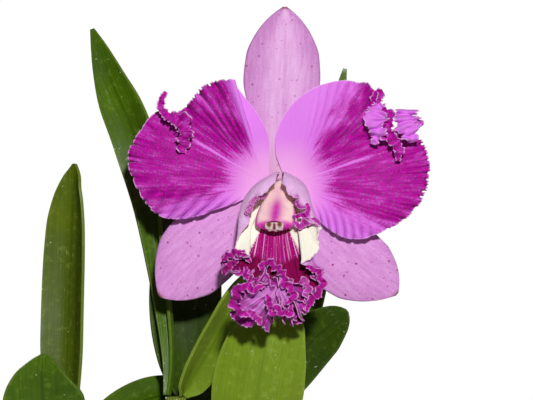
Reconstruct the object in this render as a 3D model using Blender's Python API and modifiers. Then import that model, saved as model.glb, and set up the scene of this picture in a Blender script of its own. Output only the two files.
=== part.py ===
"""A cattleya orchid in bloom, growing in a plain clay pot.

Five pseudobulbs stand on a creeping rhizome in a pot of bark.  They carry nine thick leaves and
one flower: three sepals, two ruffled petals, a trumpet lip with a frilled margin, and a column.

The origin is on the surface that the pot stands on, at the pot's centre.  +Z is up, and the
flower faces -Y.  Lengths are in millimetres until a vertex is placed, and MM turns them into metres.
"""

import math
import random

import bmesh
import bpy
import numpy as np
from mathutils import Matrix, Vector

MM = 0.001
GAP = 0.3
WELD = 0.00001

# Driving dimensions of the pot and what fills it
POT_HEIGHT = 104.0
POT_FOOT_RADIUS = 50.0
POT_MOUTH_RADIUS = 66.0
POT_WALL = 5.0
POT_FLOOR = 8.0
POT_RIM_HEIGHT = 22.0
POT_RIM_STEP = 4.0
POT_SIDES = 32
DRAIN_HOLES = 4
DRAIN_RADIUS = 5.0
DRAIN_CIRCLE = 29.0
BARK_LEVEL = 90.0
BARK_DOME = 5.0
BARK_CHIPS = 27
BARK_SEED = 7

# Driving dimensions of the flower
FLOWER_CENTRE = Vector((42.0, -22.0, 318.0))
PETAL_THICK = 0.7
SEPAL_THICK = 0.9
LIP_THICK = 0.7
LIP_TILT = math.radians(40.0)

# Driving dimensions of the shoots
LEAF_THICK = 1.7
BULB_TOP_RADIUS = 5.2
RHIZOME_RADIUS = 4.6
RHIZOME_LEVEL = 97.0
ROOT_RADIUS = 1.7

COLOURS = {
    "clay": ((0.55, 0.24, 0.13), 0.9),
    "bark": ((0.17, 0.09, 0.045), 0.95),
    "root": ((0.62, 0.62, 0.52), 0.8),
    "bulb": ((0.22, 0.33, 0.06), 0.5),
    "bract": ((0.62, 0.54, 0.38), 0.85),
    "leaf": ((0.09, 0.2, 0.015), 0.35),
    "stem": ((0.28, 0.4, 0.1), 0.5),
    "sepal": ((0.72, 0.36, 0.68), 0.5),
    "petal": ((0.55, 0.05, 0.5), 0.5),
    "lip": ((0.36, 0.005, 0.2), 0.45),
    "column": ((0.85, 0.6, 0.75), 0.4),
    "anther": ((0.9, 0.85, 0.75), 0.4),
}


# Scene, materials and small helpers


def clear_scene():
    for obj in list(bpy.data.objects):
        bpy.data.objects.remove(obj, do_unlink=True)


def new_collection(name):
    made = bpy.data.collections.new(name)
    bpy.context.scene.collection.children.link(made)
    return made


def make_materials():
    made = {}
    for name, (colour, roughness) in COLOURS.items():
        material = bpy.data.materials.new(name)
        material.use_nodes = True
        shader = material.node_tree.nodes["Principled BSDF"]
        shader.inputs["Base Color"].default_value = (*colour, 1.0)
        shader.inputs["Roughness"].default_value = roughness
        made[name] = material
    return made


def new_object(name, mesh, material, collection):
    mesh.materials.append(material)
    obj = bpy.data.objects.new(name, mesh)
    collection.objects.link(obj)
    mesh.shade_smooth()
    return obj


def through(xs, ys, x):
    """A smooth curve through the points (xs, ys) that never overshoots them, read at x."""
    xs, ys, x = (np.asarray(a, float) for a in (xs, ys, x))
    step = np.diff(xs)
    slope = np.diff(ys) / step
    inner = np.where(slope[1:] * slope[:-1] > 0, 2 * slope[1:] * slope[:-1] / (slope[1:] + slope[:-1] + 1e-12), 0)
    tangent = np.concatenate([slope[:1], inner, slope[-1:]])
    x = np.clip(x, xs[0], xs[-1])
    i = np.clip(np.searchsorted(xs, x, side="right") - 1, 0, len(step) - 1)
    t = (x - xs[i]) / step[i]
    low, high = ys[i], ys[i + 1]
    return (
        (2 * t**3 - 3 * t**2 + 1) * low
        + (t**3 - 2 * t**2 + t) * step[i] * tangent[i]
        + (3 * t**2 - 2 * t**3) * high
        + (t**3 - t**2) * step[i] * tangent[i + 1]
    )


def ease(x, start, end):
    """0 before start and 1 after end, smoothly between."""
    t = np.clip((x - start) / (end - start), 0, 1)
    return t * t * (3 - 2 * t)


def spline_points(points, count):
    """Points along one smooth curve through the given ones (Catmull-Rom), evenly spread by index."""
    given = np.array(points, float)
    padded = np.vstack([2 * given[0] - given[1], given, 2 * given[-1] - given[-2]])
    at = np.linspace(0, len(given) - 1, count)
    i = np.minimum(at.astype(int), len(given) - 2)
    t = (at - i)[:, None]
    a, b, c, d = (padded[i + k] for k in range(4))
    return 0.5 * (2 * b + (c - a) * t + (2 * a - 5 * b + 4 * c - d) * t**2 + (3 * b - a - 3 * c + d) * t**3)


def unit(vectors):
    return vectors / np.linalg.norm(vectors, axis=-1, keepdims=True)


def blade(name, points, thickness, material, collection):
    """A thin closed blade on a rows x columns grid of points in millimetres.

    The grid is split into triangles before Solidify, so both faces are split alike.
    """
    rows, columns = points.shape[0] - 1, points.shape[1] - 1
    bm = bmesh.new()
    bmesh.ops.create_grid(bm, x_segments=columns, y_segments=rows, size=1.0)
    for vertex in bm.verts:
        column = round((vertex.co.x + 1) / 2 * columns)
        row = round((vertex.co.y + 1) / 2 * rows)
        vertex.co = Vector(points[row, column]) * MM
    bmesh.ops.triangulate(bm, faces=bm.faces, quad_method="SHORT_EDGE")
    mesh = bpy.data.meshes.new(name)
    bm.to_mesh(mesh)
    bm.free()
    obj = new_object(name, mesh, material, collection)
    skin = obj.modifiers.new("Thickness", "SOLIDIFY")
    skin.thickness = thickness * MM
    skin.offset = 0.0
    return obj


# The flower


def bent_rays(along, out, turn):
    """Rays given as (along, out) columns, carried on with an extra turn at each row."""
    step_along, step_out = np.diff(along, axis=0), np.diff(out, axis=0)
    length = np.hypot(step_along, step_out)
    heading = np.arctan2(step_out, step_along) + (turn[1:] + turn[:-1]) / 2
    start = np.zeros((1, along.shape[1]))
    return (
        along[:1] + np.vstack([start, np.cumsum(length * np.cos(heading), axis=0)]),
        out[:1] + np.vstack([start, np.cumsum(length * np.sin(heading), axis=0)]),
    )


def read_rows(fine, rows):
    """Rows of a finely worked-out surface at the shares given, by straight interpolation."""
    at = np.asarray(rows) * (fine.shape[0] - 1)
    low = np.minimum(at.astype(int), fine.shape[0] - 2)
    share = (at - low)[:, None]
    return fine[low] * (1 - share) + fine[low + 1] * share


FINE_ROWS = 81
PETAL_CLAW = 3.2
PETAL_ROWS = (0.0, 0.14, 0.3, 0.45, 0.58, 0.69, 0.77, 0.83, 0.88, 0.92, 0.96, 1.0)
PETAL_COLUMNS = 41

# Each petal fans out from its claw.  "reach" is its length in millimetres at angles from the
# midrib, in degrees, with the upper side positive.  "frill" is how far the margin turns there,
# in radians, and "band" how wide a strip of it turns, in millimetres.
PETALS = {
    "petal_left": {
        "side": -1,
        "rise": 31.0,
        "spread": ((-1, -0.55, 0.5, 1), (-61, -28, 38, 57)),
        "foot": (-6.0, 0.0),
        "reach": (
            (-61, -55, -45, -32, -18, -6, 4, 14, 26, 34, 39, 45, 50, 57),
            (38, 50, 58, 65, 70, 68, 67, 68, 64, 57, 46, 36, 29, 17),
        ),
        "frill": (
            (-61, -54, -46, -36, -24, -12, -2, 6, 14, 24, 33, 40, 57),
            (0.0, 0.3, 0.6, 0.4, 0.4, 0.7, 1.5, 2.0, 1.7, 1.6, 0.8, 0.1, 0.0),
        ),
        "wave": 15.0,
        "phase": 0.4,
    },
    "petal_right": {
        "side": 1,
        "rise": 19.0,
        "spread": ((-1, -0.6, 0.45, 1), (-69, -36, 42, 93)),
        "foot": (3.0, 0.0),
        "reach": (
            (-69, -63, -55, -45, -34, -20, -8, 6, 16, 26, 36, 46, 56, 66, 76, 84, 93),
            (20, 36, 45, 52, 61, 68, 71, 74, 74, 71, 62, 55, 49, 42, 34, 25, 14),
        ),
        "frill": (
            (-69, -62, -54, -44, -30, -16, -4, 8, 18, 28, 36, 44, 93),
            (0.0, 0.05, 0.5, 0.5, 0.5, 0.6, 1.0, 1.8, 1.9, 1.4, 0.6, 0.1, 0.0),
        ),
        "wave": 18.0,
        "phase": 2.4,
    },
}
FRILL_BAND = 15.0
FRILL_LEAN = 0.25
FRILL_SHARE = 0.24


def petal_points(shape, rows, columns):
    """A petal as a fan of rays from its claw, with a margin that rolls forwards and back."""
    across = np.linspace(-1, 1, columns)
    degrees = through(*shape["spread"], across)
    reach = through(*shape["reach"], degrees)
    share = np.linspace(0, 1, FINE_ROWS)[:, None]
    radius = PETAL_CLAW + (reach - PETAL_CLAW) * share
    outwards = radius - PETAL_CLAW
    bow = 0.13 * outwards - 0.0026 * outwards**2
    channel = 1.6 * ease(np.abs(degrees), 0, 22) * ease(radius, 8, 40)
    pleat = 1.1 * np.sin(np.radians(degrees * 18)) * ease(-degrees, 25, 45) * ease(radius, 18, 40)
    band = np.minimum(FRILL_BAND, FRILL_SHARE * reach)
    into_band = ease(radius, reach - band, reach)
    wave = np.sin(2 * np.pi * degrees / shape["wave"] + shape["phase"]) + FRILL_LEAN
    turn = through(*shape["frill"], degrees) * wave * into_band
    radius, forward = bent_rays(radius, bow + channel + pleat, turn)
    radius, forward = read_rows(radius, rows), read_rows(forward, rows)
    angle = np.radians(shape["rise"] + degrees)
    foot_x, foot_z = shape["foot"]
    fan = np.stack(
        [
            foot_x + shape["side"] * radius * np.cos(angle),
            -PETAL_LAYER - forward,
            foot_z + radius * np.sin(angle),
        ],
        axis=-1,
    )
    heel = fan[:1].copy()
    heel[..., 0] = shape["side"] * (1.0 + 0.9 * np.cos(angle))
    heel[..., 2] = 1.6 * np.sin(angle)
    return np.concatenate([heel, fan])


SEPAL_LAYER = 0.8
PETAL_LAYER = SEPAL_LAYER + SEPAL_THICK / 2 + GAP + PETAL_THICK / 2 + 0.05
LIP_LAYER = PETAL_LAYER + PETAL_THICK / 2 + GAP + LIP_THICK / 2 + 0.2
SEPAL_ROWS = (0.0, 0.1, 0.22, 0.36, 0.5, 0.64, 0.77, 0.88, 0.95, 1.0)
SEPAL_COLUMNS = 7
SEPAL_OUTLINE = (
    (0.0, 0.1, 0.25, 0.42, 0.58, 0.72, 0.84, 0.92, 0.97, 1.0),
    (0.16, 0.26, 0.55, 0.86, 1.0, 0.95, 0.75, 0.52, 0.3, 0.05),
)

# "tip" is where the sepal ends from the flower's centre (x, z), "belly" how far its middle leans
# off the straight line, to the left of the way it points.
SEPALS = {
    "dorsal_sepal": {"foot": (-0.5, 2.2), "tip": (2.0, 88.0), "width": 18.9, "belly": 0.5, "back": 5.0},
    "sepal_left": {"foot": (-2.6, -2.6), "tip": (-59.0, -54.5), "width": 19.8, "belly": -3.2, "back": 7.0},
    "sepal_right": {"foot": (2.6, -2.6), "tip": (56.5, -53.5), "width": 18.8, "belly": -4.6, "back": 7.0},
}


def sepal_points(shape, rows, columns):
    """A sepal as a blade along a slightly bent midrib, its sides rolled a little backwards."""
    share = np.asarray(rows)[:, None]
    across = np.linspace(-1, 1, columns)[None, :]
    foot, tip = np.array(shape["foot"]), np.array(shape["tip"])
    along = tip - foot
    length = np.linalg.norm(along)
    along = along / length
    left = np.array([-along[1], along[0]])
    width = shape["width"] * through(*SEPAL_OUTLINE, share)
    sideways = shape["belly"] * np.sin(np.pi * share) + width * across
    flat = foot + share[..., None] * length * along + sideways[..., None] * left
    roll = 0.16 * width * across**2 * (0.35 + share)
    channel = 1.0 * (1 - np.abs(across)) ** 2 * np.sin(np.pi * share)
    back = shape["back"] * share**2 + roll + channel
    depth = -SEPAL_LAYER + back
    return np.stack([flat[..., 0], depth, flat[..., 1]], axis=-1)


LIP_ROWS = (0.0, 0.1, 0.22, 0.34, 0.46, 0.57, 0.66, 0.74, 0.81, 0.87, 0.92, 0.96, 1.0)
LIP_COLUMNS = 58
LIP_AXIS = Vector((0.0, -math.cos(LIP_TILT), -math.sin(LIP_TILT)))
LIP_UP = Vector((0.0, -math.sin(LIP_TILT), math.cos(LIP_TILT)))

# The lip is a trumpet round the column.  At angles from its underside, in degrees and positive to
# the right, its wall runs along a curve with four handles: (distance along the axis, distance
# from it).  The first handle is the same all round.
LIP_ANGLES = (-172, -145, -118, -92, -76, -66, -55, -35, -15, 5, 25, 45, 60, 70, 80, 92, 118, 145, 172)
LIP_FOOT = (1.0, 5.2)
LIP_HANDLES = (
    ((3, 10), (8, 12.5), (13, 12)),
    ((4, 11), (14, 16.5), (23, 16)),
    ((5, 13), (19, 18), (31, 19.5)),
    ((8, 14), (28, 16), (45, 21)),
    ((12, 14), (34, 15.5), (49, 17)),
    ((14, 13.5), (34, 15), (45, 17)),
    ((16, 12), (35, 14), (43, 31)),
    ((17, 10), (42, 13), (61, 32)),
    ((18, 9), (44, 13), (71, 29)),
    ((18, 9), (44, 13), (70, 26)),
    ((17, 10), (43, 13), (65, 28)),
    ((16, 12), (40, 13.5), (54, 28)),
    ((15, 13), (36, 13), (47, 21.5)),
    ((14, 13.5), (34, 12.5), (45, 13.5)),
    ((12, 14), (33, 13.5), (49, 12.5)),
    ((8, 14), (28, 16), (41, 18.5)),
    ((5, 13), (19, 17.5), (30, 18.5)),
    ((4, 11), (14, 16), (23, 15.5)),
    ((3, 10), (8, 12.5), (13, 12)),
)
LIP_FRILL = (
    (-172, -145, -118, -92, -76, -66, -55, 0, 28, 45, 58, 70, 80, 92, 118, 145, 172),
    (0.2, 0.6, 0.9, 0.3, 0.2, 0.8, 1.5, 1.1, 0.85, 0.8, 0.6, 0.3, 0.2, 0.5, 0.9, 0.6, 0.2),
)
LIP_BAND = ((-172, -84, -60, 0, 55, 80, 172), (6, 6, 13, 15, 13, 6, 6))
LIP_WAVE = 0.165
LIP_PHASE = 1.1


def lip_points(rows, columns):
    """The lip's wall: each ray runs out along its own curve, and the margin rolls up and down."""
    across = np.linspace(-1, 1, columns)
    degrees = 105 * across + 67 * across**5
    angle = np.radians(degrees)
    share = np.linspace(0, 1, FINE_ROWS)[:, None]
    handles = np.array(LIP_HANDLES, float)
    weights = (3 * share * (1 - share) ** 2, 3 * share**2 * (1 - share), share**3)
    along = (1 - share) ** 3 * (LIP_FOOT[0] + LIP_FOOT[1] * math.tan(LIP_TILT) * np.cos(angle))
    out = (1 - share) ** 3 * LIP_FOOT[1]
    for k, weight in enumerate(weights):
        along = along + weight * through(LIP_ANGLES, handles[:, k, 0], degrees)
        out = out + weight * through(LIP_ANGLES, handles[:, k, 1], degrees)
    travelled = np.vstack([np.zeros((1, columns)), np.cumsum(np.hypot(*np.diff([along, out], axis=1)), axis=0)])
    left = travelled[-1:] - travelled
    into_band = 1 - ease(left, 0, through(*LIP_BAND, degrees))
    wave = np.sin(2 * np.pi * across / LIP_WAVE + LIP_PHASE) + 0.1
    turn = through(*LIP_FRILL, degrees) * wave * into_band
    along, out = bent_rays(along, out, turn)
    along, out = read_rows(along, rows), read_rows(out, rows)
    axis, up = np.array(LIP_AXIS), np.array(LIP_UP)
    start = np.array([0.0, -LIP_LAYER, 0.0])
    side = (out * np.sin(angle))[..., None] * np.array([1.0, 0.0, 0.0])
    return start + along[..., None] * axis - (out * np.cos(angle))[..., None] * up + side


COLUMN_START = 1.0
COLUMN_LEAN = 3.4
COLUMN_LENGTH = 29.0
COLUMN_SIDES = 16
COLUMN_RINGS = 12
COLUMN_WIDTH = ((0.0, 0.06, 0.2, 0.42, 0.6, 0.8, 0.94, 1.0), (3.2, 3.8, 4.8, 7.2, 8.8, 9.4, 8.6, 4.6))
COLUMN_DEPTH = ((0.0, 0.5, 0.85, 1.0), (3.8, 4.0, 3.6, 2.4))
ANTHER_SIZE = (4.3, 2.4, 3.0)


def rounded_body(name, sides, rings, place, material, collection):
    """A closed body from a sphere: place(share along, angle) gives each ring's point, in millimetres."""
    bm = bmesh.new()
    bmesh.ops.create_uvsphere(bm, u_segments=sides, v_segments=rings, radius=1.0)
    for vertex in bm.verts:
        ring = round(math.acos(max(-1.0, min(1.0, -vertex.co.z))) / math.pi * rings)
        share = (ring - 1) / (rings - 2)
        if ring in (0, rings):
            vertex.co = place(min(1.0, max(0.0, share)), None) * MM
        else:
            vertex.co = place(share, math.atan2(vertex.co.y, vertex.co.x)) * MM
    if bm.calc_volume(signed=True) < 0:
        bmesh.ops.reverse_faces(bm, faces=bm.faces)
    mesh = bpy.data.meshes.new(name)
    bm.to_mesh(mesh)
    bm.free()
    return new_object(name, mesh, material, collection)


def column_place(share, angle):
    """The column: a club along the lip's axis, broad at its winged end."""
    centre = Vector((0, -LIP_LAYER, 0)) + LIP_AXIS * (COLUMN_START + COLUMN_LENGTH * share)
    centre = centre - LIP_UP * (2.0 * share**2) - Vector((COLUMN_LEAN * share, 0, 0))
    if angle is None:
        return centre
    width = float(through(*COLUMN_WIDTH, share))
    depth = float(through(*COLUMN_DEPTH, share))
    hollow = 1.0 - 0.35 * share * max(0.0, -math.sin(angle))
    return centre + Vector((1, 0, 0)) * (width * math.cos(angle)) + LIP_UP * (depth * hollow * math.sin(angle))


def anther_place(share, angle):
    """The cap over the pollen, on the column's end."""
    width, height, length = ANTHER_SIZE
    start = column_place(1.0, None) + LIP_AXIS * (GAP + 0.05)
    centre = start + LIP_AXIS * (length * share)
    if angle is None:
        return centre
    swell = 0.62 + 0.38 * math.sin(math.pi * min(1.0, 0.25 + 0.75 * share))
    return centre + Vector((1, 0, 0)) * (width * swell * math.cos(angle)) + LIP_UP * (height * swell * math.sin(angle))


def moved_to_flower(points):
    return points + np.array(FLOWER_CENTRE)


def make_flower(materials, collection):
    for name, shape in SEPALS.items():
        points = moved_to_flower(sepal_points(shape, SEPAL_ROWS, SEPAL_COLUMNS))
        blade(name, points, SEPAL_THICK, materials["sepal"], collection)
    for name, shape in PETALS.items():
        points = moved_to_flower(petal_points(shape, PETAL_ROWS, PETAL_COLUMNS))
        blade(name, points, PETAL_THICK, materials["petal"], collection)
    points = moved_to_flower(lip_points(LIP_ROWS, LIP_COLUMNS))
    blade("lip", points, LIP_THICK, materials["lip"], collection)
    rounded_body(
        "column", COLUMN_SIDES, COLUMN_RINGS, lambda s, a: FLOWER_CENTRE + column_place(s, a),
        materials["column"], collection,
    )
    rounded_body(
        "anther_cap", 10, 6, lambda s, a: FLOWER_CENTRE + anther_place(s, a), materials["anther"], collection
    )


# The shoots: pseudobulbs, leaves, the flower's stem and its sheath

# Each pseudobulb is (foot, top, swelling radius), in millimetres.
BULBS = {
    "pseudobulb_front": ((24, -20), (25, -17, 150), 9.0),
    "pseudobulb_tall": ((-6, 4), (-11, 3, 211), 9.5),
    "pseudobulb_behind": ((4, 32), (-1, 30, 196), 9.0),
    "pseudobulb_left": ((-40, -6), (-62, -4, 160), 8.5),
    "pseudobulb_right": ((36, 22), (47, 22, 190), 8.5),
}
BULB_SIDES = 12
BULB_RINGS = 11
BULB_OUTLINE = ((0.0, 0.08, 0.3, 0.6, 0.85, 1.0), (0.42, 0.5, 0.86, 1.0, 0.72, 0.0))
BULB_FOOT_LEVEL = 105.5


def bulb_place(foot, top, swell, share, angle):
    """A pseudobulb: a furrowed spindle between its collar on the rhizome and its flat top."""
    low = Vector((*foot, BULB_FOOT_LEVEL))
    high = Vector(top)
    centre = low.lerp(high, share)
    if angle is None:
        return centre
    width = float(through(BULB_OUTLINE[0], BULB_OUTLINE[1], share)) * swell
    width = max(width, BULB_TOP_RADIUS if share > 0.5 else 0.0)
    furrow = 1.0 + 0.05 * math.cos(6 * angle) * math.sin(math.pi * share)
    return centre + Vector((math.cos(angle), math.sin(angle) * 0.9, 0)) * (width * furrow)


# Each leaf: the points its midrib passes, its half width at shares of its length, how far its
# halves fold up from flat (degrees) at shares of its length, and the way its upper face looks at
# its foot and its tip.
LEAVES = {
    "leaf_tall": {
        "path": (
            (-14.2, 3, 211.8), (-12.6, 6, 226), (-13.6, 9, 246), (-18.0, 12, 279),
            (-23.5, 13, 312), (-31.0, 11, 341), (-43.5, 6, 370.5), (-53.0, 0, 396.8),
        ),
        "width": ((0, 0.15, 0.35, 0.55, 0.7, 0.79, 0.88, 0.95, 1), (3.4, 5.5, 8.0, 11.0, 13.0, 12.0, 8.0, 4.2, 1.0)),
        "fold": ((0, 0.45, 0.62, 0.76, 0.9, 1), (64, 62, 44, 22, 14, 0)),
        "face": ((-0.9, -0.6, 0), (-0.2, -1, 0)),
    },
    "leaf_centre": {
        "path": ((-7.6, 1.5, 212.3), (1.0, -3, 226.8), (11.7, -10, 245.8), (21.8, -19, 263.7), (31, -27, 279)),
        "width": ((0, 0.2, 0.45, 0.65, 0.8, 0.92, 1), (3.4, 6.5, 9.0, 9.5, 8.0, 4.5, 1.0)),
        "fold": ((0, 0.5, 0.9, 1), (62, 44, 34, 0)),
        "face": ((0.6, -0.7, 0.3), (0.45, -0.9, 0.2)),
    },
    "leaf_front": {
        "path": ((25, -21.6, 151), (27, -31, 185), (30.5, -38, 218), (35.6, -41, 245.6), (40.5, -40, 272)),
        "width": (
            (0, 0.12, 0.3, 0.5, 0.62, 0.72, 0.83, 0.92, 0.98, 1),
            (3.4, 9.0, 19.0, 22.8, 21.6, 19.2, 16.0, 10.5, 4.5, 1.0),
        ),
        "fold": ((0, 0.5, 0.9, 1), (45, 16, 10, 0)),
        "face": ((0, 1, -0.15), (0, 1, -0.1)),
    },
    "leaf_right": {
        "path": ((26, -10.9, 151), (28.5, -5, 176), (34, -2.5, 208), (46, -3, 226), (60, -6, 242), (75, -12, 255.5)),
        "width": ((0, 0.15, 0.4, 0.65, 0.82, 0.93, 0.98, 1), (3.4, 6.0, 11.0, 13.5, 12.5, 8.5, 4.5, 1.0)),
        "fold": ((0, 0.4, 0.9, 1), (35, 16, 8, 0)),
        "face": ((0.3, -1, 0.2), (-0.1, -1, 0.2)),
    },
    "leaf_behind": {
        "path": ((2.6, 30, 196.9), (1.5, 26.5, 210), (-5, 24, 232), (-7, 24, 265), (-3, 25, 305), (5, 26, 345)),
        "width": ((0, 0.12, 0.3, 0.55, 0.8, 0.93, 1), (3.4, 7.5, 16.0, 19.0, 16.0, 8.0, 1.0)),
        "fold": ((0, 0.6, 0.9, 1), (55, 14, 8, 0)),
        "face": ((0, -1, 0), (0.1, -1, 0.1)),
    },
    "leaf_low": {
        "path": ((-4.4, 31, 197.2), (-10.5, 34, 206.5), (-28, 36, 205.5), (-50, 35, 191), (-72, 33, 165)),
        "width": ((0, 0.15, 0.4, 0.6, 0.8, 0.93, 1), (3.4, 7.0, 12.5, 13.5, 11.0, 6.0, 1.0)),
        "fold": ((0, 0.5, 0.9, 1), (50, 20, 10, 0)),
        "face": ((-0.4, -0.7, 0.8), (0.2, -0.75, 0.8)),
    },
    "leaf_right_back": {
        "path": ((47, 22, 190.5), (50, 24, 232), (56, 26, 280), (66, 27, 330), (75.5, 24, 378.5)),
        "width": ((0, 0.2, 0.5, 0.7, 0.85, 0.94, 1), (3.4, 9.0, 14.0, 11.5, 6.5, 3.0, 1.0)),
        "fold": ((0, 0.6, 0.9, 1), (60, 24, 14, 0)),
        "face": ((-0.1, -1, 0), (0, -1, 0.1)),
    },
    "leaf_left_tall": {
        "path": (
            (-64, -0.5, 160.6), (-66.5, 3, 190), (-66.3, 5, 212), (-65.6, 6, 236),
            (-64.9, 8, 262), (-63.6, 7, 291), (-62.4, 4, 312), (-61.8, 0, 328.8),
        ),
        "width": (
            (0, 0.12, 0.3, 0.45, 0.62, 0.75, 0.85, 0.94, 0.98, 1),
            (3.4, 6.0, 12.0, 14.6, 14.9, 14.0, 11.2, 6.2, 2.8, 1.0),
        ),
        "fold": ((0, 0.2, 0.9, 1), (62, 39, 36, 0)),
        "face": ((-0.3, -0.9, 0), (-0.6, -0.8, 0)),
    },
    "leaf_left_low": {
        "path": ((-61.5, -7.4, 161.4), (-65, -12, 172), (-71, -24, 195), (-74, -33, 218), (-73, -38, 236)),
        "width": (
            (0, 0.12, 0.3, 0.5, 0.7, 0.85, 0.94, 0.98, 1),
            (3.4, 9.0, 18.0, 21.0, 20.0, 13.5, 7.0, 3.5, 1.0),
        ),
        "fold": ((0, 0.5, 0.9, 1), (50, 16, 8, 0)),
        "face": ((0.1, -0.9, 0.4), (0, -0.95, 0.3)),
    },
}
LEAF_ROWS = 12
LEAF_COLUMNS = 7
LEAF_TIP_HALF_WIDTH = 1.4


def leaf_points(leaf, rows, columns):
    """A leaf: two halves folded up from a midrib that follows its path."""
    path = spline_points(leaf["path"], rows)
    along = unit(np.gradient(path, axis=0))
    share = np.linspace(0, 1, rows)[:, None]
    face = np.array(leaf["face"][0]) * (1 - share) + np.array(leaf["face"][1]) * share
    side = unit(np.cross(along, face))
    face = np.cross(side, along)
    width = np.maximum(through(*leaf["width"], share), LEAF_TIP_HALF_WIDTH)
    fold = np.radians(through(*leaf["fold"], share))
    half = (columns - 1) // 2
    step = np.arange(half)
    lean = fold * np.minimum(1.0, 0.45 * (step + 1))
    out = np.cumsum(np.cos(lean), axis=1) * width / half
    up = np.cumsum(np.sin(lean), axis=1) * width / half
    middle = np.zeros_like(width)
    out = np.hstack([-out[:, ::-1], middle, out])
    up = np.hstack([up[:, ::-1], middle, up])
    return path[:, None, :] + out[..., None] * side[:, None, :] + up[..., None] * face[:, None, :]


def make_shoots(materials, collection):
    for name, (foot, top, swell) in BULBS.items():
        rounded_body(
            name, BULB_SIDES, BULB_RINGS, lambda s, a, f=foot, t=top, w=swell: bulb_place(f, t, w, s, a),
            materials["bulb"], collection,
        )
    for name, leaf in LEAVES.items():
        blade(name, leaf_points(leaf, LEAF_ROWS, LEAF_COLUMNS), LEAF_THICK, materials["leaf"], collection)


STEM_PATH = (
    (25, -16.6, 150.6), (28, -15, 190), (32, -10, 235), (37, -4, 275), (41, -1, 300), (42.5, -4, 313), (42, -14, 318),
)
STEM_RADII = ((0.0, 0.7, 0.85, 1.0), (1.9, 1.9, 2.6, 3.9))
STEM_KNOB_DEPTH = 1.0
SHEATH_LENGTH = 40.0
SHEATH_THICK = 0.6
SHEATH_RADII = ((0.0, 0.4, 0.8, 1.0), (2.65, 3.5, 3.4, 3.0))


def tube(name, path, radii, sides, material, collection):
    """A solid rod along a path, its ends flat."""
    count = len(path)
    along = unit(np.gradient(path, axis=0))
    across = [unit(np.cross(along[0], (0.3, 0.2, 1.0)))]
    for heading in along[1:]:
        across.append(unit(across[-1] - heading * np.dot(heading, across[-1])))
    other = np.cross(along, across)

    def place(share, angle):
        at = min(count - 1, round(share * (count - 1)))
        centre = Vector(path[at])
        if angle is None:
            return centre
        radius = float(radii[at])
        return centre + Vector(across[at] * math.cos(angle) + other[at] * math.sin(angle)) * radius

    return rounded_body(name, sides, count + 1, place, material, collection)


def sheath_points(rows, columns):
    """The papery sheath the stem grew out of: a split sleeve, longer at its back."""
    share = np.linspace(0, 1, rows)[:, None]
    round_stem = np.radians(np.linspace(-150, 150, columns))[None, :]
    radius = through(*SHEATH_RADII, share)
    top = SHEATH_LENGTH * (0.72 + 0.28 * np.cos(round_stem))
    level = STEM_PATH[0][2] + 0.1 + top * share
    lean = (level - STEM_PATH[0][2]) / (STEM_PATH[1][2] - STEM_PATH[0][2])
    x = STEM_PATH[0][0] + (STEM_PATH[1][0] - STEM_PATH[0][0]) * lean + radius * np.sin(round_stem)
    y = STEM_PATH[0][1] + (STEM_PATH[1][1] - STEM_PATH[0][1]) * lean + radius * np.cos(round_stem)
    return np.stack([x, y, level], axis=-1)


def make_stem(materials, collection):
    path = spline_points(STEM_PATH, 16)
    radii = through(*STEM_RADII, np.linspace(0, 1, 16))
    knob = np.array(FLOWER_CENTRE) + np.array([0, GAP, 0])
    path = np.vstack([path, knob])
    radii = np.append(radii, 4.6)
    tube("flower_stem", path, radii, 8, materials["stem"], collection)
    blade("flower_sheath", sheath_points(5, 11), SHEATH_THICK, materials["bract"], collection)


# The pot, the bark and the rhizome with its roots


def inner_radius(level):
    """The pot's inside radius at a height above the surface it stands on."""
    foot = POT_FOOT_RADIUS - POT_WALL
    mouth = POT_MOUTH_RADIUS
    return foot + (mouth - foot) * (level - POT_FLOOR) / (POT_HEIGHT - POT_FLOOR)


def turned(name, profile, sides, material, collection):
    """A body turned from a profile that runs down its outer side."""
    mesh = bpy.data.meshes.new(name)
    bm = bmesh.new()
    verts = [bm.verts.new((radius * MM, 0, level * MM)) for radius, level in profile]
    for low, high in zip(verts, verts[1:]):
        bm.edges.new((low, high))
    bm.to_mesh(mesh)
    bm.free()
    obj = new_object(name, mesh, material, collection)
    screw = obj.modifiers.new("Turn", "SCREW")
    screw.steps = screw.render_steps = sides
    screw.use_merge_vertices = True
    screw.merge_threshold = WELD
    return obj


def make_pot(materials, collection, cutters):
    rim_low = POT_HEIGHT - POT_RIM_HEIGHT
    wall_low = inner_radius(rim_low) + POT_WALL
    rim_outer = POT_MOUTH_RADIUS + POT_WALL + POT_RIM_STEP
    profile = [
        (0, POT_FLOOR),
        (inner_radius(POT_FLOOR), POT_FLOOR),
        (inner_radius(POT_HEIGHT - 2), POT_HEIGHT - 2),
        (POT_MOUTH_RADIUS + 2, POT_HEIGHT),
        (rim_outer - 2, POT_HEIGHT),
        (rim_outer, POT_HEIGHT - 2),
        (rim_outer - 1.5, rim_low + 2),
        (rim_outer - 3.5, rim_low),
        (wall_low, rim_low - 1),
        (POT_FOOT_RADIUS + 1, 3),
        (POT_FOOT_RADIUS - 2, 0),
        (0, 0),
    ]
    pot = turned("pot", profile, POT_SIDES, materials["clay"], collection)
    for index in range(DRAIN_HOLES):
        angle = math.radians(45 + 360 / DRAIN_HOLES * index)
        bpy.ops.mesh.primitive_cylinder_add(
            vertices=16, radius=DRAIN_RADIUS * MM, depth=POT_FLOOR * 3 * MM,
            location=(math.cos(angle) * DRAIN_CIRCLE * MM, math.sin(angle) * DRAIN_CIRCLE * MM, 0),
        )
        hole = bpy.context.object
        hole.name = f"drain_cutter_{index}"
        move_to(hole, cutters)
    drain = pot.modifiers.new("Drain", "BOOLEAN")
    drain.operand_type = "COLLECTION"
    drain.collection = cutters
    return pot


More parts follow.
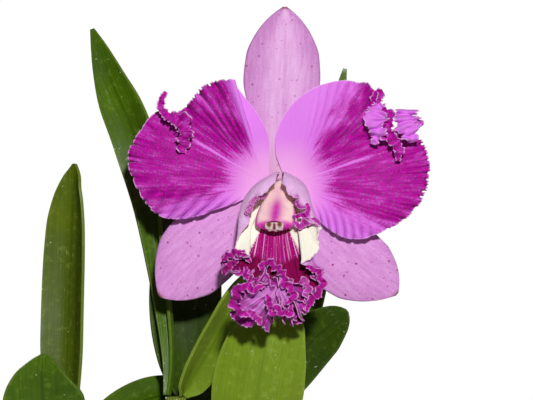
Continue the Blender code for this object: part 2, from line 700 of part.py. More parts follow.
def move_to(obj, collection):
    for old in list(obj.users_collection):
        old.objects.unlink(obj)
    collection.objects.link(obj)
    obj.hide_render = True
    obj.display_type = "WIRE"


def evaluated_mesh(obj):
    graph = bpy.context.evaluated_depsgraph_get()
    return bpy.data.meshes.new_from_object(obj.evaluated_get(graph))


def remove_objects(objects):
    for obj in list(objects):
        bpy.data.objects.remove(obj, do_unlink=True)


def boolean(obj, operation, other, solver="EXACT"):
    """Joins obj with, or cuts it by, a collection of bodies, and applies the result."""
    cut = obj.modifiers.new("Boolean", "BOOLEAN")
    cut.operation = operation
    cut.solver = solver
    cut.operand_type = "COLLECTION"
    cut.collection = other
    mesh = evaluated_mesh(obj)
    obj.modifiers.clear()
    obj.data = mesh


def keep_largest(obj):
    """Drops loose scraps, keeping the body with the most faces."""
    bm = bmesh.new()
    bm.from_mesh(obj.data)
    left, best = set(bm.verts), []
    while left:
        group, stack = [], [left.pop()]
        while stack:
            vertex = stack.pop()
            group.append(vertex)
            for edge in vertex.link_edges:
                other = edge.other_vert(vertex)
                if other in left:
                    left.remove(other)
                    stack.append(other)
        if len(group) > len(best):
            best = group
    keep = set(best)
    bmesh.ops.delete(bm, geom=[v for v in bm.verts if v not in keep], context="VERTS")
    bm.to_mesh(obj.data)
    bm.free()


RHIZOME_PATH = (
    (-50, -8, RHIZOME_LEVEL - 2), (-40, -6, RHIZOME_LEVEL), (-22, 0, RHIZOME_LEVEL + 0.5),
    (-6, 4, RHIZOME_LEVEL), (10, -6, RHIZOME_LEVEL + 0.5), (24, -20, RHIZOME_LEVEL), (31, -27, RHIZOME_LEVEL - 3),
)
RHIZOME_BRANCH = (
    (-8, 4, RHIZOME_LEVEL), (0, 20, RHIZOME_LEVEL + 0.5), (4, 32, RHIZOME_LEVEL), (20, 31, RHIZOME_LEVEL + 0.5),
    (36, 22, RHIZOME_LEVEL), (44, 16, RHIZOME_LEVEL - 3),
)
ROOT_PATHS = (
    ((-43, -5, 97.4), (-50, -22, 99), (-58, -38, 107), (-62, -44, 108), (-66, -47, 98), (-63, -46, 78), (-58, -48, 60)),
    ((25, -22, 96.6), (34, -36, 100), (40, -48, 107), (46, -58, 108), (49, -64, 98), (46, -61, 78), (48, -56, 66)),
    ((38, 23, 97.8), (50, 30, 101), (59, 34, 107), (66, 36, 108), (71, 40, 98), (66, 41, 80), (63, 45, 58)),
    ((3, 33, 96.4), (-8, 44, 101), (-24, 46, 97), (-34, 42, 86)),
    ((-8, 2, 97.6), (-16, -14, 100), (-14, -30, 98), (-4, -40, 86)),
    ((-39, -5, 96.2), (-46, 10, 100), (-42, 26, 98), (-36, 34, 86)),
    ((26, -19, 97.9), (40, -16, 101), (50, -6, 98), (52, 6, 86)),
)


def rod(name, path, radius, extra, sides, collection, material):
    """A rod with tapering ends, for the rhizome and its roots, made larger all round by extra."""
    count = max(8, 2 * len(path) - 1)
    points = spline_points(path, count)
    share = np.linspace(0, 1, count)
    radii = radius * (0.45 + 0.55 * np.minimum(1, np.minimum(share, 1 - share) * 9)) + 1.15 * extra
    points[0] += unit(points[0] - points[1]) * extra
    points[-1] += unit(points[-1] - points[-2]) * extra
    return tube(name, points, radii, sides, material, collection)


def rhizome_bodies(extra, material, collection):
    """The rhizome, its branch, a collar under each pseudobulb, and the roots, each a closed body."""
    made = [
        rod("rhizome", RHIZOME_PATH, RHIZOME_RADIUS, extra, 9, collection, material),
        rod("rhizome_branch", RHIZOME_BRANCH, RHIZOME_RADIUS - 0.4, extra, 8, collection, material),
    ]
    for index, (foot, _top, _swell) in enumerate(BULBS.values()):
        low, high = RHIZOME_LEVEL - 1.5 - extra, BULB_FOOT_LEVEL - GAP + extra
        bpy.ops.mesh.primitive_cone_add(
            vertices=10, radius1=(5.4 + 1.15 * extra) * MM, radius2=(4.0 + 1.15 * extra) * MM,
            depth=(high - low) * MM, location=(foot[0] * MM, foot[1] * MM, (high + low) / 2 * MM),
        )
        collar = bpy.context.object
        collar.name = f"collar_{index}"
        collar.data.materials.append(material)
        for old in list(collar.users_collection):
            old.objects.unlink(collar)
        collection.objects.link(collar)
        bpy.ops.object.transform_apply(location=True, rotation=False, scale=False)
        made.append(collar)
    for index, path in enumerate(ROOT_PATHS):
        made.append(rod(f"root_{index}", path, ROOT_RADIUS, extra, 6, collection, material))
    return made


def make_rhizome(materials, collection, work):
    bodies = rhizome_bodies(0.0, materials["root"], work)
    rhizome = bodies[0]
    work.objects.unlink(rhizome)
    collection.objects.link(rhizome)
    rhizome.name = "rhizome_and_roots"
    boolean(rhizome, "UNION", work)
    remove_objects(work.objects)
    keep_largest(rhizome)
    return rhizome


def make_bark(materials, collection, work):
    wall = 0.35
    bottom = POT_FLOOR + GAP
    profile = [
        (0, BARK_LEVEL + BARK_DOME),
        (25, BARK_LEVEL + BARK_DOME - 0.8),
        (45, BARK_LEVEL + BARK_DOME - 2.6),
        (inner_radius(BARK_LEVEL) - wall, BARK_LEVEL),
        (inner_radius(bottom) - wall, bottom),
        (0, bottom),
    ]
    bark = turned("bark", profile, POT_SIDES, materials["bark"], collection)
    draw = random.Random(BARK_SEED)
    for index in range(BARK_CHIPS):
        ring = math.sqrt((index + 0.5) / BARK_CHIPS)
        angle = index * math.pi * (3 - math.sqrt(5))
        radius = ring * 51
        bpy.ops.mesh.primitive_cube_add(size=1.0)
        chip = bpy.context.object
        chip.name = f"chip_{index}"
        length, width, height = draw.uniform(13, 20), draw.uniform(9, 13), draw.uniform(5, 8)
        level = BARK_LEVEL + BARK_DOME - 0.0011 * radius**2 + draw.uniform(-0.6, 1.4)
        turn = Matrix.Rotation(draw.uniform(0, math.tau), 4, "Z") @ Matrix.Rotation(draw.uniform(-0.3, 0.3), 4, "X")
        turn = turn @ Matrix.Rotation(draw.uniform(-0.3, 0.3), 4, "Y")
        place = Matrix.Translation(Vector((radius * math.cos(angle), radius * math.sin(angle), level)) * MM)
        chip.data.transform(place @ turn @ Matrix.Diagonal((length * MM, width * MM, height * MM, 1)))
        for old in list(chip.users_collection):
            old.objects.unlink(chip)
        work.objects.link(chip)
    boolean(bark, "UNION", work)
    remove_objects(work.objects)
    rhizome_bodies(GAP, materials["root"], work)
    boolean(bark, "DIFFERENCE", work)
    remove_objects(work.objects)
    keep_largest(bark)
    return bark


def main():
    clear_scene()
    materials = make_materials()
    plant = new_collection("Cattleya orchid")
    cutters = new_collection("Cutters")
    work = new_collection("Joined")
    make_pot(materials, plant, cutters)
    make_bark(materials, plant, work)
    make_rhizome(materials, plant, work)
    make_shoots(materials, plant)
    make_stem(materials, plant)
    make_flower(materials, plant)


main()
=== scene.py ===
# %% [markdown]
# A cattleya orchid in bloom, in a plain clay pot
#
# The solids of this plant come packed, in metres, as a fixed frame.  This lesson dresses them:
# each petal, leaf, bulb and chip of bark gets a finer form and a finish, and sits where its solid is.
# The flower faces -Y, +Z is up, and the pot stands on the floor at the origin.

# %% Load the frame and measure it
import math

import bmesh
import bpy
import numpy as np
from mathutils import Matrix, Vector


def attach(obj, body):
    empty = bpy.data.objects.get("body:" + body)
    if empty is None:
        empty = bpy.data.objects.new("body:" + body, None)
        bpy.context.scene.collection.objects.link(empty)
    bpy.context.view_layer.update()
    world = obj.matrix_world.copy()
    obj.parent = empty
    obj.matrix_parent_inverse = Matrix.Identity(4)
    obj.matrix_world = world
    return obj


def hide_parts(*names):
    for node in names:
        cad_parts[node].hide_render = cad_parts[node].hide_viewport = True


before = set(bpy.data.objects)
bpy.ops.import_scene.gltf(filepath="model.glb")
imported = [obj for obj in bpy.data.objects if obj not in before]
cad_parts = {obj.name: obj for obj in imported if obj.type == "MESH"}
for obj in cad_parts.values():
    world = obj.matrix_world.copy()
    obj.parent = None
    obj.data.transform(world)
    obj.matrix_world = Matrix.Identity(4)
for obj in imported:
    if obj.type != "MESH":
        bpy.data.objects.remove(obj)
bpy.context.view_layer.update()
MM = 0.001
print("nodes:", len(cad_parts))

# %% [markdown]
# Orchid tissue is all thin curved sheets, so most pieces here are a grid of points that a formula
# places.  A few curve helpers keep those formulas short: a curve through chosen points, a soft
# step, and a smooth path in space.  Sculpting by hand would give softer forms, but a formula can
# be made finer at any time and keeps the same shape as the solid that it dresses.


# %% Curve helpers
def through(xs, ys, x):
    """A smooth curve through the points (xs, ys) that never overshoots them, read at x."""
    xs, ys, x = (np.asarray(a, float) for a in (xs, ys, x))
    step = np.diff(xs)
    slope = np.diff(ys) / step
    both = slope[1:] * slope[:-1]
    inner = np.where(both > 0, 2 * both / (slope[1:] + slope[:-1] + 1e-12), 0)
    tangent = np.concatenate([slope[:1], inner, slope[-1:]])
    x = np.clip(x, xs[0], xs[-1])
    i = np.clip(np.searchsorted(xs, x, side="right") - 1, 0, len(step) - 1)
    t = (x - xs[i]) / step[i]
    return (
        (2 * t**3 - 3 * t**2 + 1) * ys[i]
        + (t**3 - 2 * t**2 + t) * step[i] * tangent[i]
        + (3 * t**2 - 2 * t**3) * ys[i + 1]
        + (t**3 - t**2) * step[i] * tangent[i + 1]
    )


def ease(x, start, end):
    """0 before start and 1 after end, smoothly between."""
    t = np.clip((x - start) / (end - start), 0, 1)
    return t * t * (3 - 2 * t)


def band_of(x, rise_start, rise_end, fall_start, fall_end):
    """1 between rise_end and fall_start, easing to 0 on both sides."""
    return ease(x, rise_start, rise_end) * (1 - ease(x, fall_start, fall_end))


def spline_points(points, count):
    """Points along one smooth curve through the given ones, evenly spread by index."""
    given = np.array(points, float)
    padded = np.vstack([2 * given[0] - given[1], given, 2 * given[-1] - given[-2]])
    at = np.linspace(0, len(given) - 1, count)
    i = np.minimum(at.astype(int), len(given) - 2)
    t = (at - i)[:, None]
    a, b, c, d = (padded[i + k] for k in range(4))
    bend = 2 * a - 5 * b + 4 * c - d
    return 0.5 * (2 * b + (c - a) * t + bend * t**2 + (3 * b - a - 3 * c + d) * t**3)


def unit(vectors):
    return vectors / np.linalg.norm(vectors, axis=-1, keepdims=True)


# %% [markdown]
# A sheet is a grid of points with Solidify for its thickness.  Each one keeps a UV map, which the
# veins follow, and painted attributes between 0 and 1, which say where a colour lies.


# %% Sheet helpers
def placed(name, data):
    """An object for the data, linked into the scene."""
    made = bpy.data.objects.new(name, data)
    bpy.context.scene.collection.objects.link(made)
    return made


def paint_points(mesh, key, values):
    attribute = mesh.attributes.new(key, "FLOAT", "POINT")
    attribute.data.foreach_set("value", np.ravel(values).astype(np.float32))


def sheet(name, points, thickness, maps, paint, turned=False):
    """A mesh sheet over a rows x columns grid of points in millimetres, thickened to a blade.

    The face that carries the first material looks the other way where turned is true.
    """
    rows, columns = points.shape[:2]
    mesh = bpy.data.meshes.new(name)
    index = np.arange(rows * columns).reshape(rows, columns)
    corners = [index[:-1, :-1], index[:-1, 1:], index[1:, 1:], index[1:, :-1]]
    if turned:
        corners.reverse()
    faces = np.stack(corners, axis=-1).reshape(-1, 4)
    mesh.from_pydata((points.reshape(-1, 3) * MM).tolist(), [], faces.tolist())
    uv = np.stack(np.broadcast_arrays(*maps), axis=-1).reshape(-1, 2)
    layer = mesh.uv_layers.new(name="UVMap")
    layer.data.foreach_set("uv", uv[faces.reshape(-1)].astype(np.float32).ravel())
    for key, values in paint.items():
        paint_points(mesh, key, np.broadcast_to(values, (rows, columns)))
    mesh.shade_smooth()
    piece = placed(name, mesh)
    skin = piece.modifiers.new("Thickness", "SOLIDIFY")
    skin.thickness = thickness * MM
    skin.offset = 0.0
    return piece


def settle(piece, slot, *nodes):
    """Ties a piece to its body and hides the nodes it stands for; its slot is not used."""
    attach(piece, "root")
    if nodes:
        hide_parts(*nodes)
    print(piece.name, "faces", len(piece.data.polygons))


def dress(piece, material, slot, node):
    """Gives a piece its material and settles it."""
    piece.data.materials.append(material)
    settle(piece, slot, node)


# %% [markdown]
# Materials come next, as small builders.  Tissue is waxy: light passes a little way into it, so
# each one has some subsurface scattering, a soft sheen and a fine bump.  Colours are mixed from
# noise that is stretched along the veins.  Painted images would be quicker but would blur close up.


# %% Material helpers
def linear(red, green, blue):
    """A screen colour of 0 to 255 as the linear colour that shaders take."""
    values = []
    for part in (red, green, blue):
        share = part / 255
        values.append(share / 12.92 if share <= 0.04045 else ((share + 0.055) / 1.055) ** 2.4)
    return (*values, 1.0)


class Shader:
    """A material's node tree, with short names for the nodes that the finishes here use."""

    def __init__(self, name, roughness=0.5, specular=0.5):
        self.material = bpy.data.materials.new(name)
        self.material.use_nodes = True
        self.tree = self.material.node_tree
        self.surface = self.tree.nodes["Principled BSDF"]
        self.set("Roughness", roughness)
        self.set("Specular IOR Level", specular)

    def set(self, name, value):
        self.surface.inputs[name].default_value = value

    def link(self, source, target):
        self.tree.links.new(source, target)

    def plug(self, value, socket):
        """Links a socket's value, or sets a number or a screen colour of three numbers."""
        if isinstance(value, bpy.types.NodeSocket):
            self.link(value, socket)
        elif isinstance(value, tuple):
            socket.default_value = linear(*value)
        else:
            socket.default_value = value

    def add(self, kind, **settings):
        node = self.tree.nodes.new(kind)
        for key, value in settings.items():
            setattr(node, key, value)
        return node

    def uv(self):
        return self.add("ShaderNodeUVMap", uv_map="UVMap").outputs["UV"]

    def place(self):
        return self.add("ShaderNodeTexCoord").outputs["Object"]

    def paint(self, name):
        return self.add("ShaderNodeAttribute", attribute_name=name).outputs["Fac"]

    def scaled(self, vector, scale):
        node = self.add("ShaderNodeMapping")
        self.link(vector, node.inputs["Vector"])
        node.inputs["Scale"].default_value = scale
        return node.outputs["Vector"]

    def noise(self, vector, scale, detail=3.0, roughness=0.55):
        node = self.add("ShaderNodeTexNoise")
        self.link(vector, node.inputs["Vector"])
        node.inputs["Scale"].default_value = scale
        node.inputs["Detail"].default_value = detail
        node.inputs["Roughness"].default_value = roughness
        return node.outputs["Fac"]

    def drawn_out(self, vector, scale, detail, roughness=0.55):
        """Noise with its own scale along each axis, so that it runs in streaks or rings."""
        return self.noise(self.scaled(vector, scale), 1.0, detail, roughness)

    def spots(self, vector, scale, size):
        """1 inside small round spots of a random scatter, 0 elsewhere."""
        node = self.add("ShaderNodeTexVoronoi")
        self.link(vector, node.inputs["Vector"])
        node.inputs["Scale"].default_value = scale
        return self.between(node.outputs["Distance"], size, size * 0.55)

    def between(self, value, low, high, new_low=0.0, new_high=1.0):
        node = self.add("ShaderNodeMapRange", interpolation_type="SMOOTHSTEP")
        self.plug(value, node.inputs["Value"])
        values = {"From Min": low, "From Max": high, "To Min": new_low, "To Max": new_high}
        for key, number in values.items():
            node.inputs[key].default_value = number
        return node.outputs["Result"]

    def math(self, operation, a, b=0.0, clamp=True):
        node = self.add("ShaderNodeMath", operation=operation, use_clamp=clamp)
        self.plug(a, node.inputs[0])
        self.plug(b, node.inputs[1])
        return node.outputs["Value"]

    def times(self, a, b):
        return self.math("MULTIPLY", a, b)

    def summed(self, *weighted):
        """Values added up, each one times its weight and then held between 0 and 1."""
        total = None
        for value, weight in weighted:
            part = value if weight == 1 else self.times(value, weight)
            total = part if total is None else self.math("ADD", total, part, False)
        return total

    def mix(self, factor, a, b):
        node = self.add("ShaderNodeMix", data_type="RGBA")
        self.plug(factor, node.inputs["Factor"])
        self.plug(a, node.inputs["A"])
        self.plug(b, node.inputs["B"])
        return node.outputs["Result"]

    def blend(self, value, low, high, a, b, most=1.0):
        """From a to b as the value goes from low to high, or only a part of the way to b."""
        return self.mix(self.between(value, low, high, 0.0, most), a, b)

    def colour(self, socket):
        self.link(socket, self.surface.inputs["Base Color"])

    def roughness(self, socket):
        self.link(socket, self.surface.inputs["Roughness"])

    def bump(self, height, strength, distance):
        node = self.add("ShaderNodeBump")
        node.inputs["Strength"].default_value = strength
        node.inputs["Distance"].default_value = distance * MM
        self.link(height, node.inputs["Height"])
        self.link(node.outputs["Normal"], self.surface.inputs["Normal"])

    def glow_through(self, share, radius, tint, sheen=0.0):
        """Lets light spread inside the tissue, by radius in millimetres, under a soft sheen."""
        self.set("Sheen Weight", sheen)
        self.set("Subsurface Weight", share)
        self.set("Subsurface Radius", tint)
        self.set("Subsurface Scale", radius * MM)


# %% [markdown]
# Petals of this flower are stippled with deep purple that fades to lilac towards their smooth
# sides, and to a pale claw at their foot.  The stipple runs in streaks along the veins, so its
# noise is read on a UV map whose first axis turns round the claw and whose second runs outwards.


# %% Petal finish
LILAC = (222, 128, 232)
PALE_CLAW = (236, 166, 228)
FRILL_EDGE = (236, 190, 236)


def vein_streaks(made):
    """Streaks of one or two millimetres along the veins, and the fine grain between them."""
    uv = made.uv()
    streaks = made.drawn_out(uv, (22.0, 3.4, 1.0), 4.0, 0.65)
    grain = made.noise(made.place(), 1150.0, 3.0, 0.75)
    return streaks, grain


def stained_share(made, streaks, grain, low, high):
    """How purple the tissue is: its painted depth, broken up by streaks, patches and grain."""
    patches = made.drawn_out(made.uv(), (7.0, 4.0, 1.0), 2.0, 0.5)
    total = made.summed((streaks, 1.2), (grain, 1.9), (patches, 0.9), (made.paint("deep"), 1.2))
    return made.between(total, low, high)


def petal_finish():
    made = Shader("petal stippled purple", roughness=0.6, specular=0.1)
    streaks, grain = vein_streaks(made)
    ground = made.mix(made.paint("claw"), LILAC, PALE_CLAW)
    blushed = made.times(made.between(streaks, 0.3, 0.7, 0.5, 1.0), made.paint("deep"))
    ground = made.mix(blushed, ground, (208, 74, 202))
    purple = made.blend(grain, 0.38, 0.62, (116, 0, 92), (200, 0, 172))
    colour = made.mix(stained_share(made, streaks, grain, 2.42, 3.05), ground, purple)
    # Painted shade: a dark purple line along each pleat's crease, where the fold would be shaded.
    colour = made.mix(made.times(made.paint("crease"), 0.75), colour, (120, 26, 118))
    made.colour(made.mix(made.paint("edge"), colour, FRILL_EDGE))
    made.bump(made.summed((streaks, 1), (grain, 0.35), (made.paint("ridge"), 1)), 0.4, 0.5)
    made.glow_through(0.12, 1.2, (1.0, 0.35, 0.8), sheen=0.04)
    made.set("Sheen Roughness", 0.45)
    return made.material


def petal_back_finish():
    made = Shader("petal back pale pink", roughness=0.5, specular=0.25)
    streaks, grain = vein_streaks(made)
    stained = stained_share(made, streaks, grain, 2.7, 3.6)
    colour = made.mix(stained, (218, 136, 212), (150, 16, 132))
    made.colour(made.mix(made.paint("edge"), colour, FRILL_EDGE))
    made.bump(streaks, 0.6, 0.5)
    made.glow_through(0.12, 1.2, (1.0, 0.4, 0.8), sheen=0.04)
    made.set("Sheen Roughness", 0.45)
    return made.material


petal_front = petal_finish()
petal_back = petal_back_finish()
print("petal finishes:", petal_front.name, "and", petal_back.name)

# %% [markdown]
# Each petal is a fan: rays leave the claw at angles from the midrib, and "reach" says how long
# each one is.  A frill is a margin that has grown longer than its petal, so it must fold.  The
# last part of each ray therefore turns forwards or back, ray by ray in waves: broad folds that
# match the solid, then small crimps close to the margin.  Turning a ray keeps its length, as
# tissue does, where pushing points along the normal would stretch it.

# %% Petal shapes
FLOWER_CENTRE = np.array([42.0, -22.0, 318.0])
PETAL_LAYER = 1.95
PETAL_CLAW = 3.2
PETAL_THICK = 0.45
PETAL_RISE, PETAL_DROOP = 0.13, 0.0026
PETAL_CHANNEL = 1.6
FINE_ROWS = 241
FRILL_BAND = 13.0
FRILL_WAVE = 8.5
CRIMP_BAND = 4.0
CRIMP_WAVE = 3.0
COMB_BAND = 16.0
COMB_WAVE = 2.3
COMB_HEIGHT = 0.7
RUFFLE_WAVE = 5.2
RUFFLE_CRIMP_WAVE = 1.9
RUFFLE_CRIMP_HEIGHT = 0.6
RUFFLE_FLARE, RUFFLE_CRIMP_FLARE = 0.26, 0.2
RUFFLE_SWAY_FORWARD = 4.1
RUFFLE_SWAY_SIDEWAYS = 5.3
RUFFLE_SWAY = 0.9
PETALS = {
    "petal_left": {
        "side": -1,
        "rise": 31.0,
        "foot": (-6.0, 0.0),
        "reach": (
            (-61, -55, -45, -32, -18, -9, 0, 3, 6, 10, 15, 19, 25, 29, 38, 41, 44, 49, 55, 60),
            (35, 47.5, 57, 65, 71, 69, 67, 65, 58, 56.5, 56, 57, 58, 57.5, 54, 50, 44, 36.5, 28.5, 21),
        ),
        "lift": (
            (-61, 2, 8, 14, 22, 32, 38.2, 40.4, 60),
            (0.0, 0.0, 1.5, 3.0, 5.0, 7.0, 8.0, -0.5, 0.0),
        ),
        "lean": (
            (-61, -54, -46, 20, 34, 38.2, 40.4, 44, 60),
            (5.5, 3.0, 0.0, 0.0, 1.0, 2.5, 0.0, 0.0, 0.0),
        ),
        "frill": (
            (-61, -54, -46, -36, -24, -12, -2, 6, 14, 24, 33, 40, 60),
            (0.0, 0.2, 0.4, 0.3, 0.3, 0.2, 0.1, 0.3, 0.7, 0.6, 0.5, 0.0, 0.0),
        ),
        "crimp": (
            (-61, -52, -40, -26, -12, 0, 10, 24, 36, 42, 60),
            (0.1, 0.3, 0.4, 0.7, 0.6, 0.2, 1.0, 1.0, 0.9, 0.0, 0.0),
        ),
        "comb": ((-61, -36, -30, -22, -14, -2, 60), (0.0, 0.2, 0.7, 0.9, 0.6, 0.1, 0.0)),
        "pleats": (
            (((-61, -50, -42, -36, -28), (1.2, 2.0, 1.8, 1.0, 0.0)), 12.0, 1.2),
            (((12, 18, 36, 39), (0.0, 1.0, 1.0, 0.0)), 4.4, 0.0),
        ),
        "pale": ((-61, -52, -40, -24, 29, 33, 37.5, 60), (0.85, 0.7, 0.3, 0.0, 0.0, 0.1, 0.9, 1.1)),
        "seed": 3,
    },
    "petal_right": {
        "side": 1,
        "rise": 19.0,
        "foot": (3.0, 0.0),
        "reach": (
            (
                -69, -63, -55, -45, -34, -20, -8, -2, 3, 7, 10, 13, 17,
                22, 26, 29, 32, 36, 43, 49, 56, 64, 72, 82, 92,
            ),
            (
                20, 36, 45, 52, 61, 69, 71, 70.5, 67, 62, 56, 52, 51,
                53, 58, 64, 64, 61.5, 58, 54, 49, 42.5, 35.5, 26.5, 15,
            ),
        ),
        "lift": ((-69, 8, 18, 27, 31, 34, 92), (0.0, 0.0, 1.5, 4.5, 1.0, 0.0, 0.0)),
        "lean": ((-69, 18, 27, 31, 36, 92), (0.0, 0.0, -2.5, 0.0, 0.0, 0.0)),
        "frill": (
            (-69, -62, -54, -44, -30, -16, -4, 8, 18, 28, 36, 44, 92),
            (0.0, 0.0, 0.3, 0.3, 0.3, 0.3, 0.2, 0.3, 0.5, 0.4, 0.2, 0.0, 0.0),
        ),
        "crimp": (
            (-69, -58, -44, -30, -22, -4, 10, 26, 36, 46, 92),
            (0.0, 0.2, 0.3, 0.7, 1.2, 1.2, 0.8, 0.8, 0.3, 0.0, 0.0),
        ),
        "comb": ((-69, -44, -34, -24, -6, 0, 92), (0.0, 0.2, 0.7, 1.0, 1.0, 0.2, 0.0)),
        "pleats": (
            (((-69, -62, -52, -47, -40), (0.5, 1.2, 1.3, 0.6, 0.0)), 9.0, 1.6),
            (((20, 26, 34, 46, 56), (0.0, 0.9, 0.7, 0.4, 0.0)), 5.0, -0.25),
        ),
        "pale": (
            (-69, -58, -46, -30, -18, 22, 33, 44, 55, 92),
            (1.1, 0.85, 0.5, 0.12, 0.0, 0.0, 0.35, 0.7, 1.05, 1.1),
        ),
        "seed": 8,
    },
}

# %% Petal ruffles
# Ruffles are where a petal's tip crumples into strips in front of its face.  Each follows a line
# of points (x, z and how far forward, from the flower's centre) and has half widths along it.  Its
# sides wave by "height", cup forwards by "cup", and the whole strip sways by "sway", in millimetres.
RUFFLES = {
    "petal_left": (
        {
            "line": (
                (-56.3, 45.5, 5), (-57.9, 42.4, 6), (-58.7, 39.4, 6.5), (-57.8, 36.0, 7),
                (-55.0, 33.5, 8), (-51.3, 32.0, 9), (-48.0, 30.4, 9.5), (-46.6, 26.5, 9),
                (-47.1, 22.3, 7.5), (-47.8, 18.7, 6), (-48.2, 15.6, 5),
            ),
            "half": (0.9, 1.6, 1.8, 1.8, 2.2, 3.2, 4.1, 3.1, 3.0, 2.7, 1.5),
            "height": 2.0, "cup": 0.6, "sway": 0.5, "paint": {"deep": 1.0},
        },
    ),
    "petal_right": (
        {
            "line": (
                (49.9, 45.4, 5), (47.4, 43.9, 7), (46.1, 40.5, 8), (48.2, 37.1, 8), (51.9, 34.7, 8),
                (53.0, 31.4, 8), (51.2, 27.7, 9), (51.7, 24.3, 10), (55.5, 21.0, 9), (57.4, 16.7, 8),
                (57.0, 11.6, 6),
            ),
            "half": (1.6, 2.8, 2.6, 2.6, 2.5, 2.2, 2.5, 3.1, 2.7, 2.3, 1.1),
            "height": 1.9, "cup": 0.4, "sway": 0.5, "paint": {"deep": 0.95},
        },
        {
            "line": (
                (47.1, 40.4, 7), (46.3, 36.1, 10), (45.5, 31.8, 12), (46.5, 27.6, 11), (46.4, 24.0, 10),
                (44.7, 19.8, 8),
            ),
            "half": (1.6, 3.8, 5.4, 3.7, 3.1, 1.0),
            "height": 2.8, "cup": 1.2, "sway": 0.7, "paint": {"deep": 0.28},
        },
        {
            "line": (
                (60.9, 36.7, 5), (60.7, 32.6, 8), (61.5, 28.2, 10), (63.1, 24.0, 9), (63.7, 20.7, 7),
            ),
            "half": (4.1, 5.2, 5.2, 3.8, 1.7),
            "height": 3.0, "cup": 0.9, "sway": 0.7, "paint": {"deep": 0.25},
        },
        {
            "line": ((63.5, 31.4, 8), (66.5, 30.0, 8), (69.5, 30.3, 7)),
            "half": (2.2, 2.7, 0.9),
            "height": 0.8, "cup": 0.5, "sway": 0.5, "paint": {"deep": 0.6},
        },
    ),
}


# %% Frill helpers
def bent_rays(along, out, turn):
    """Rays given as (along, out) columns, carried on with an extra turn at each row."""
    step_along, step_out = np.diff(along, axis=0), np.diff(out, axis=0)
    length = np.hypot(step_along, step_out)
    heading = np.arctan2(step_out, step_along) + (turn[1:] + turn[:-1]) / 2
    start = np.zeros((1, along.shape[1]))
    return (
        along[:1] + np.vstack([start, np.cumsum(length * np.cos(heading), axis=0)]),
        out[:1] + np.vstack([start, np.cumsum(length * np.sin(heading), axis=0)]),
    )


def read_rows(fine, rows):
    """Rows of a finely worked-out surface at the shares given, by straight interpolation."""
    at = np.asarray(rows) * (fine.shape[0] - 1)
    low = np.minimum(at.astype(int), fine.shape[0] - 2)
    share = (at - low)[:, None]
    return fine[low] * (1 - share) + fine[low + 1] * share


def crowded(count, power):
    """Shares from 0 to 1 that crowd towards 1, where the frill is."""
    return 1 - (1 - np.linspace(0, 1, count)) ** power


def uneven(along, wave, seed):
    """A wave round a margin whose length and height wander, as real frills do.

    The second array moves its crests sideways until they overhang, which rounds them.
    """
    draw = np.random.default_rng(seed)
    wander = sum(
        draw.uniform(0.4, 1.0) * np.sin(along / (wave * k) + draw.uniform(0, 6.28))
        for k in (0.9, 1.7, 3.1)
    )
    height = 0.8 + 0.35 * np.sin(along / (1.4 * wave) + draw.uniform(0, 6.28))
    phase = 2 * np.pi * along / wave + 0.9 * wander
    return height * np.sin(phase), -0.11 * wave * np.sin(2 * phase)


def even_margin(degrees, edge, count):
    """Angles that part a margin into even lengths, and the length to each of them."""
    run = np.concatenate([[0], np.cumsum(np.linalg.norm(np.diff(edge, axis=0), axis=1))])
    margin = np.linspace(0, run[-1], count)
    return np.interp(margin, run, degrees), margin


def flat_edge(degrees, reach):
    return np.stack([reach * np.cos(np.radians(degrees)), reach * np.sin(np.radians(degrees))], axis=-1)


# %% Petal builder
def petal_relief(shape, degrees, reach, length):
    """How far forward each ray stands before its frill turns it, and where creases lie for painted
    shade.
    """
    outwards = length - PETAL_CLAW
    upper_side = ease(degrees, 40, 75)
    bow = (PETAL_RISE * outwards - PETAL_DROOP * outwards**2) * (1 - 0.7 * upper_side)
    channel = PETAL_CHANNEL * ease(np.abs(degrees), 0, 22) * ease(length, 8, 40) * (1 - upper_side)
    comb = COMB_HEIGHT * through(*shape["comb"], degrees)
    comb = comb * uneven(degrees, COMB_WAVE, shape["seed"] + 8)[0]
    comb = comb * ease(length, reach - COMB_BAND, reach - 3)
    pleat, crease = 0.0, 0.0
    for amount, wave, sweep in shape["pleats"]:
        fold = np.abs(np.sin(np.pi * (degrees + sweep * length) / wave))
        size = through(*amount, degrees) * (degrees > amount[0][0] - 1) * (degrees < amount[0][-1])
        size = size * ease(length, 0.25 * reach, 0.7 * reach)
        pleat = pleat + size * (2.2 * fold**0.7 - 1.4)
        crease = crease + np.minimum(1, size) * np.exp(-((fold / 0.2) ** 2))
    lift = through(*shape["lift"], degrees) * ease(length, 0.35 * reach, reach)
    return bow + channel + pleat + comb + lift, crease


